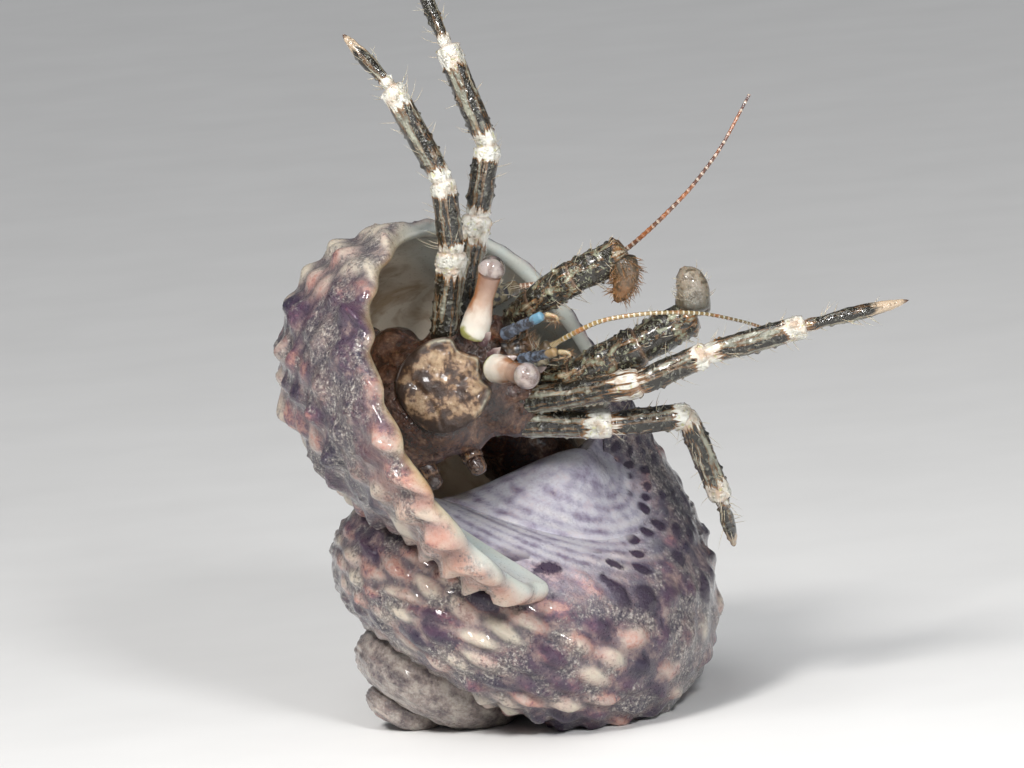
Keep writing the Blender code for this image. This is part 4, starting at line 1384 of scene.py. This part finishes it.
def whip(name, points, thick, thin, rings, finish, slot, *nodes):
    """Thin tapering feeler through given points, with a swelling for each ring."""
    path, count = eased_path(points, 0.7 if len(points) > 4 else 0.15)
    share = count / count[-1]
    half = thick + (thin - thick) * share ** 0.8
    half = half * (1 + 0.10 * np.cos(2 * np.pi * rings * share))
    grid, out = sweep(path, half, half, 14)
    piece = grid_mesh(name, crab(grid), along=share)
    limbs[name] = (grid, out, count)
    return hand_over(piece, finish, slot, *nodes)


whip("left_antenna_whip", [(2.24, 0.54, -1.06), (2.75, 0.22, -1.10), (3.39, -0.04, -0.92),
    (4.32, -0.24, -0.40), (5.18, -0.19, 0.20), (6.16, -0.07, 0.40), (7.13, 0.19, 0.50),
    (8.26, 0.70, 0.30)], 0.075, 0.030, 48, whip_red, "feeler", "left_antenna")
whip("right_antenna_whip", [(2.06, -0.82, 0.04), (2.30, -0.85, 0.22), (3.14, -1.01, 0.80),
    (4.02, -1.52, 1.05), (4.81, -2.13, 0.62), (5.41, -2.83, -0.10), (5.76, -3.34, -0.60)], 0.062, 0.030,
    56, whip_gold, "feeler", "right_antenna")


def curl(start, way, side, size):
    """Small hook: out along way, then back round towards side."""
    start, way, side = np.array(start), unit(way), unit(side)
    turn = np.linspace(0, 1.5 * np.pi, 9)
    ahead, across = np.sin(turn) * size, (1 - np.cos(turn)) * size
    return start + way * (ahead + 0.3 * size)[:, None] * 1.2 + side * across[:, None]


whip("left_antennule_whip", curl((2.34, -0.25, 0.93), (0.7, -0.2, 0.6), (0.2, -0.9, 0.2), 0.17), 0.055,
    0.020, 16, whip_gold, "feeler")
whip("right_antennule_whip", curl((2.08, -1.00, 1.02), (0.7, -0.1, 0.6), (0.3, -0.8, 0.3), 0.16), 0.055,
    0.020, 16, whip_gold, "feeler")

# %% [markdown]
# ## Hairs
# Stiff hairs stand in small groups: on the legs near the joints, thickest at the leg tips, on the
# claws' fingers as a tuft, and round the mouth. Each hair is a thin bent cone of solid mesh. Hairs
# of one limb are one piece. Its bake map gives each hair a tiny patch at the place of its root on
# the limb's own unwrap, so that neighbours keep apart.

# %% Hair builder
PATCH = 0.003
HAIR_SIDES, HAIR_LEAN = 5, 0.5


def hair_points(root, way, droop, side, thick, long):
    """Three rings and a tip, bent by the droop."""
    over = np.cross(way, side)
    points = []
    for share, wide in ((-0.06, 1.0), (0.35, 0.85), (0.70, 0.55)):
        middle = root + way * long * share + droop * long * max(share, 0) ** 2
        for k in range(HAIR_SIDES):
            turn = 2 * math.pi * k / HAIR_SIDES
            points.append(middle + (side * math.cos(turn) + over * math.sin(turn)) * thick * wide)
    return points + [root + way * long + droop * long]


def hair_faces(first):
    """Faces of one hair, each with its corners in the unit square of the bake map."""
    faces = []
    for ring in range(3):
        low, high = ring / 3, (ring + 1) / 3
        for k in range(HAIR_SIDES):
            a = first + ring * HAIR_SIDES + k
            b = first + ring * HAIR_SIDES + (k + 1) % HAIR_SIDES
            near, far = k / HAIR_SIDES, (k + 1) / HAIR_SIDES
            if ring < 2:
                faces.append(((a, b, b + HAIR_SIDES, a + HAIR_SIDES),
                              ((near, low), (far, low), (far, high), (near, high))))
            else:
                faces.append(((a, b, first + 3 * HAIR_SIDES), ((near, low), (far, low), (0.5, 1.0))))
    back = range(HAIR_SIDES)[::-1]
    faces.append((tuple(first + k for k in back), tuple((k / HAIR_SIDES, 0.0) for k in back)))
    return faces


def hairs(name, host, count, length, thick, rows, seed):
    """Hairs on a limb's grid between two shares of its length."""
    grid, out = host[0], host[1]
    chance = np.random.default_rng(seed)
    total, columns = grid.shape[:2]
    verts, faces, patches = [], [], []
    for _ in range(count):
        row = int(chance.uniform(*rows) * (total - 2))
        column = int(chance.integers(columns))
        along = grid[min(row + 2, total - 1)].mean(axis=0) - grid[max(row - 2, 0)].mean(axis=0)
        along = along / (np.linalg.norm(along) + 1e-9)
        way = unit(out[row, column] + along * HAIR_LEAN + chance.normal(0, 0.25, 3))
        long = length * chance.uniform(0.55, 1.25)
        droop = chance.normal(0, 0.18, 3) + along * 0.25
        side = unit(np.cross(way, along + 0.01))
        place = np.array((column / columns, row / total))
        for corners, spots in hair_faces(len(verts)):
            faces.append(corners)
            patches.extend(place + PATCH * np.array(at) for at in spots)
        verts.extend(hair_points(grid[row, column], way, droop, side, thick, long))
    mesh = bpy.data.meshes.new(name)
    mesh.from_pydata(crab(verts).tolist(), [], faces)
    layer = mesh.uv_layers.new(name="OFBake")
    layer.data.foreach_set("uv", np.clip(np.array(patches), 0, 1).ravel())
    mesh.shade_smooth()
    return show(name, mesh)


def hair_finish(name, colour):
    finish, shader = new_finish(name, 0.35, coat=0.3, scatter=0.2, scatter_mm=0.05)
    tone = ramp(speckle(0.12, 2), ((0.35, tuple(c * 0.55 for c in colour)), (0.65, colour)))
    join(tone, shader.inputs["Base Color"])
    return finish


# %% Hairs on limbs and mouth
pale_hair = hair_finish("pale_hair", (0.55, 0.48, 0.36))
brown_hair = hair_finish("brown_hair", (0.26, 0.14, 0.06))
HAIRS = (
    ("left_leg_2", 60, 0.30, 0.007, (0.30, 0.92), pale_hair, "leg_plate"),
    ("left_leg_3", 60, 0.32, 0.007, (0.30, 0.92), pale_hair, "leg_plate"),
    ("right_leg_2", 70, 0.28, 0.007, (0.40, 0.93), pale_hair, "leg_plate"),
    ("right_leg_3", 50, 0.28, 0.007, (0.30, 0.93), pale_hair, "leg_plate"),
    ("left_claw", 60, 0.30, 0.008, (0.45, 0.97), pale_hair, "claw_plate"),
    ("right_claw", 50, 0.26, 0.008, (0.40, 0.97), pale_hair, "claw_plate"),
    ("left_claw_fixed", 130, 0.17, 0.009, (0.1, 0.95), brown_hair, "claw_finger"),
    ("left_claw_moving", 130, 0.17, 0.009, (0.1, 0.95), brown_hair, "claw_finger"),
    ("right_claw_fixed", 30, 0.14, 0.008, (0.3, 0.9), pale_hair, "claw_finger"),
    ("right_claw_moving", 30, 0.14, 0.008, (0.3, 0.9), pale_hair, "claw_finger"),
    ("left_mouth_leg", 70, 0.34, 0.008, (0.4, 0.97), brown_hair, "head_skin"),
    ("right_mouth_leg", 70, 0.34, 0.008, (0.4, 0.97), brown_hair, "head_skin"),
    ("left_antenna_base", 24, 0.26, 0.007, (0.5, 0.97), pale_hair, "head_skin"),
    ("right_antenna_base", 24, 0.26, 0.007, (0.5, 0.97), pale_hair, "head_skin"),
    ("left_antennule_whip", 40, 0.16, 0.005, (0.2, 0.95), brown_hair, "feeler"),
    ("right_antennule_whip", 40, 0.16, 0.005, (0.2, 0.95), brown_hair, "feeler"),
)
for at, (host, count, length, thick, rows, finish, slot) in enumerate(HAIRS):
    tuft = hairs(f"{host}_hairs", limbs[host], count, length, thick, rows, 300 + at)
    hand_over(tuft, finish, slot)

# %% [markdown]
# ## Floor, lamps and camera
# The animal stands on a plain pale floor in soft studio light. A key lamp stands to the left, a
# small bright one near the camera gives the crisp points of light that wet armour shows, a broad
# one on the right fills the shadows, and a soft sun shines from above. The camera looks slightly
# down, rolled a few degrees, from twenty centimetres, so it needs a near clipping distance of a
# millimetre.

# %% Floor
floor_mesh = bpy.data.meshes.new("floor")
floor_mesh.from_pydata([(-2, -2, 0), (2, -2, 0), (2, 2, 0), (-2, 2, 0)], [], [(0, 1, 2, 3)])
floor = show("floor", floor_mesh)
floor_finish, floor_shader = new_finish("pale_floor", 0.7)
floor_tone = ramp(speckle(4.0, 2), ((0.3, (0.75, 0.75, 0.74)), (0.7, (0.78, 0.78, 0.77))))
join(floor_tone, floor_shader.inputs["Base Color"])
floor_mesh.materials.append(floor_finish)

# %% Lamps
ELEVATION, ROLL = math.radians(8.0), math.radians(5.0)
VIEW_BACK = Vector((0.0, -math.cos(ELEVATION), math.sin(ELEVATION)))
VIEW_RIGHT = Vector((math.cos(ROLL), -math.sin(ROLL) * math.sin(ELEVATION), -math.sin(ROLL)
    * math.cos(ELEVATION)))
VIEW_UP = VIEW_BACK.cross(VIEW_RIGHT)
LOOK_AT = Vector((-1.62, -2.39, 7.21)) * MM


def lamp(name, right, up, back, size, power, colour=(1, 1, 1)):
    """Square lamp placed by millimetres to the right, up and towards the camera."""
    light = bpy.data.lights.new(name, "AREA")
    light.size = size * MM
    light.energy = power
    light.color = colour
    piece = show(name, light)
    piece.location = LOOK_AT + (VIEW_RIGHT * right + VIEW_UP * up + VIEW_BACK * back) * MM
    piece.rotation_euler = (piece.location - LOOK_AT).to_track_quat("Z", "Y").to_euler()


lamp("key", -55, 62, 85, 24, 0.11, (1.0, 0.97, 0.94))
lamp("glint", 14, 22, 62, 9, 0.034)
lamp("fill", 70, 10, 80, 60, 0.022, (0.94, 0.97, 1.0))
sun = bpy.data.lights.new("overhead", "SUN")
sun.energy, sun.angle = 1.30, math.radians(40)
overhead = show("overhead", sun)
overhead.rotation_euler = Vector((-0.35, -0.35, 1.0)).to_track_quat("Z", "Y").to_euler()
world = bpy.data.worlds.new("studio")
world.use_nodes = True
world.node_tree.nodes["Background"].inputs["Color"].default_value = (0.86, 0.90, 1.0, 1.0)
world.node_tree.nodes["Background"].inputs["Strength"].default_value = 0.11
bpy.context.scene.world = world
bpy.context.scene.view_settings.view_transform = "Standard"

# %% Camera
VIEW_DISTANCE, VIEW_WIDTH, SENSOR = 200.0, 20.48, 36.0
camera_data = bpy.data.cameras.new("camera")
camera_data.sensor_width = SENSOR
camera_data.lens = SENSOR * VIEW_DISTANCE / VIEW_WIDTH
camera_data.clip_start, camera_data.clip_end = 0.001, 10.0
camera = show("camera", camera_data)
turn = Matrix((VIEW_RIGHT, VIEW_UP, VIEW_BACK)).transposed().to_4x4()
camera.matrix_world = Matrix.Translation(LOOK_AT + VIEW_BACK * VIEW_DISTANCE * MM) @ turn
bpy.context.scene.camera = camera

# %% Sizes, and the end
total = sum(len(p.vertices) - 2 for o in bpy.data.objects if o.type == "MESH" and not o.hide_render
    for p in o.data.polygons)
print("triangles:", total)
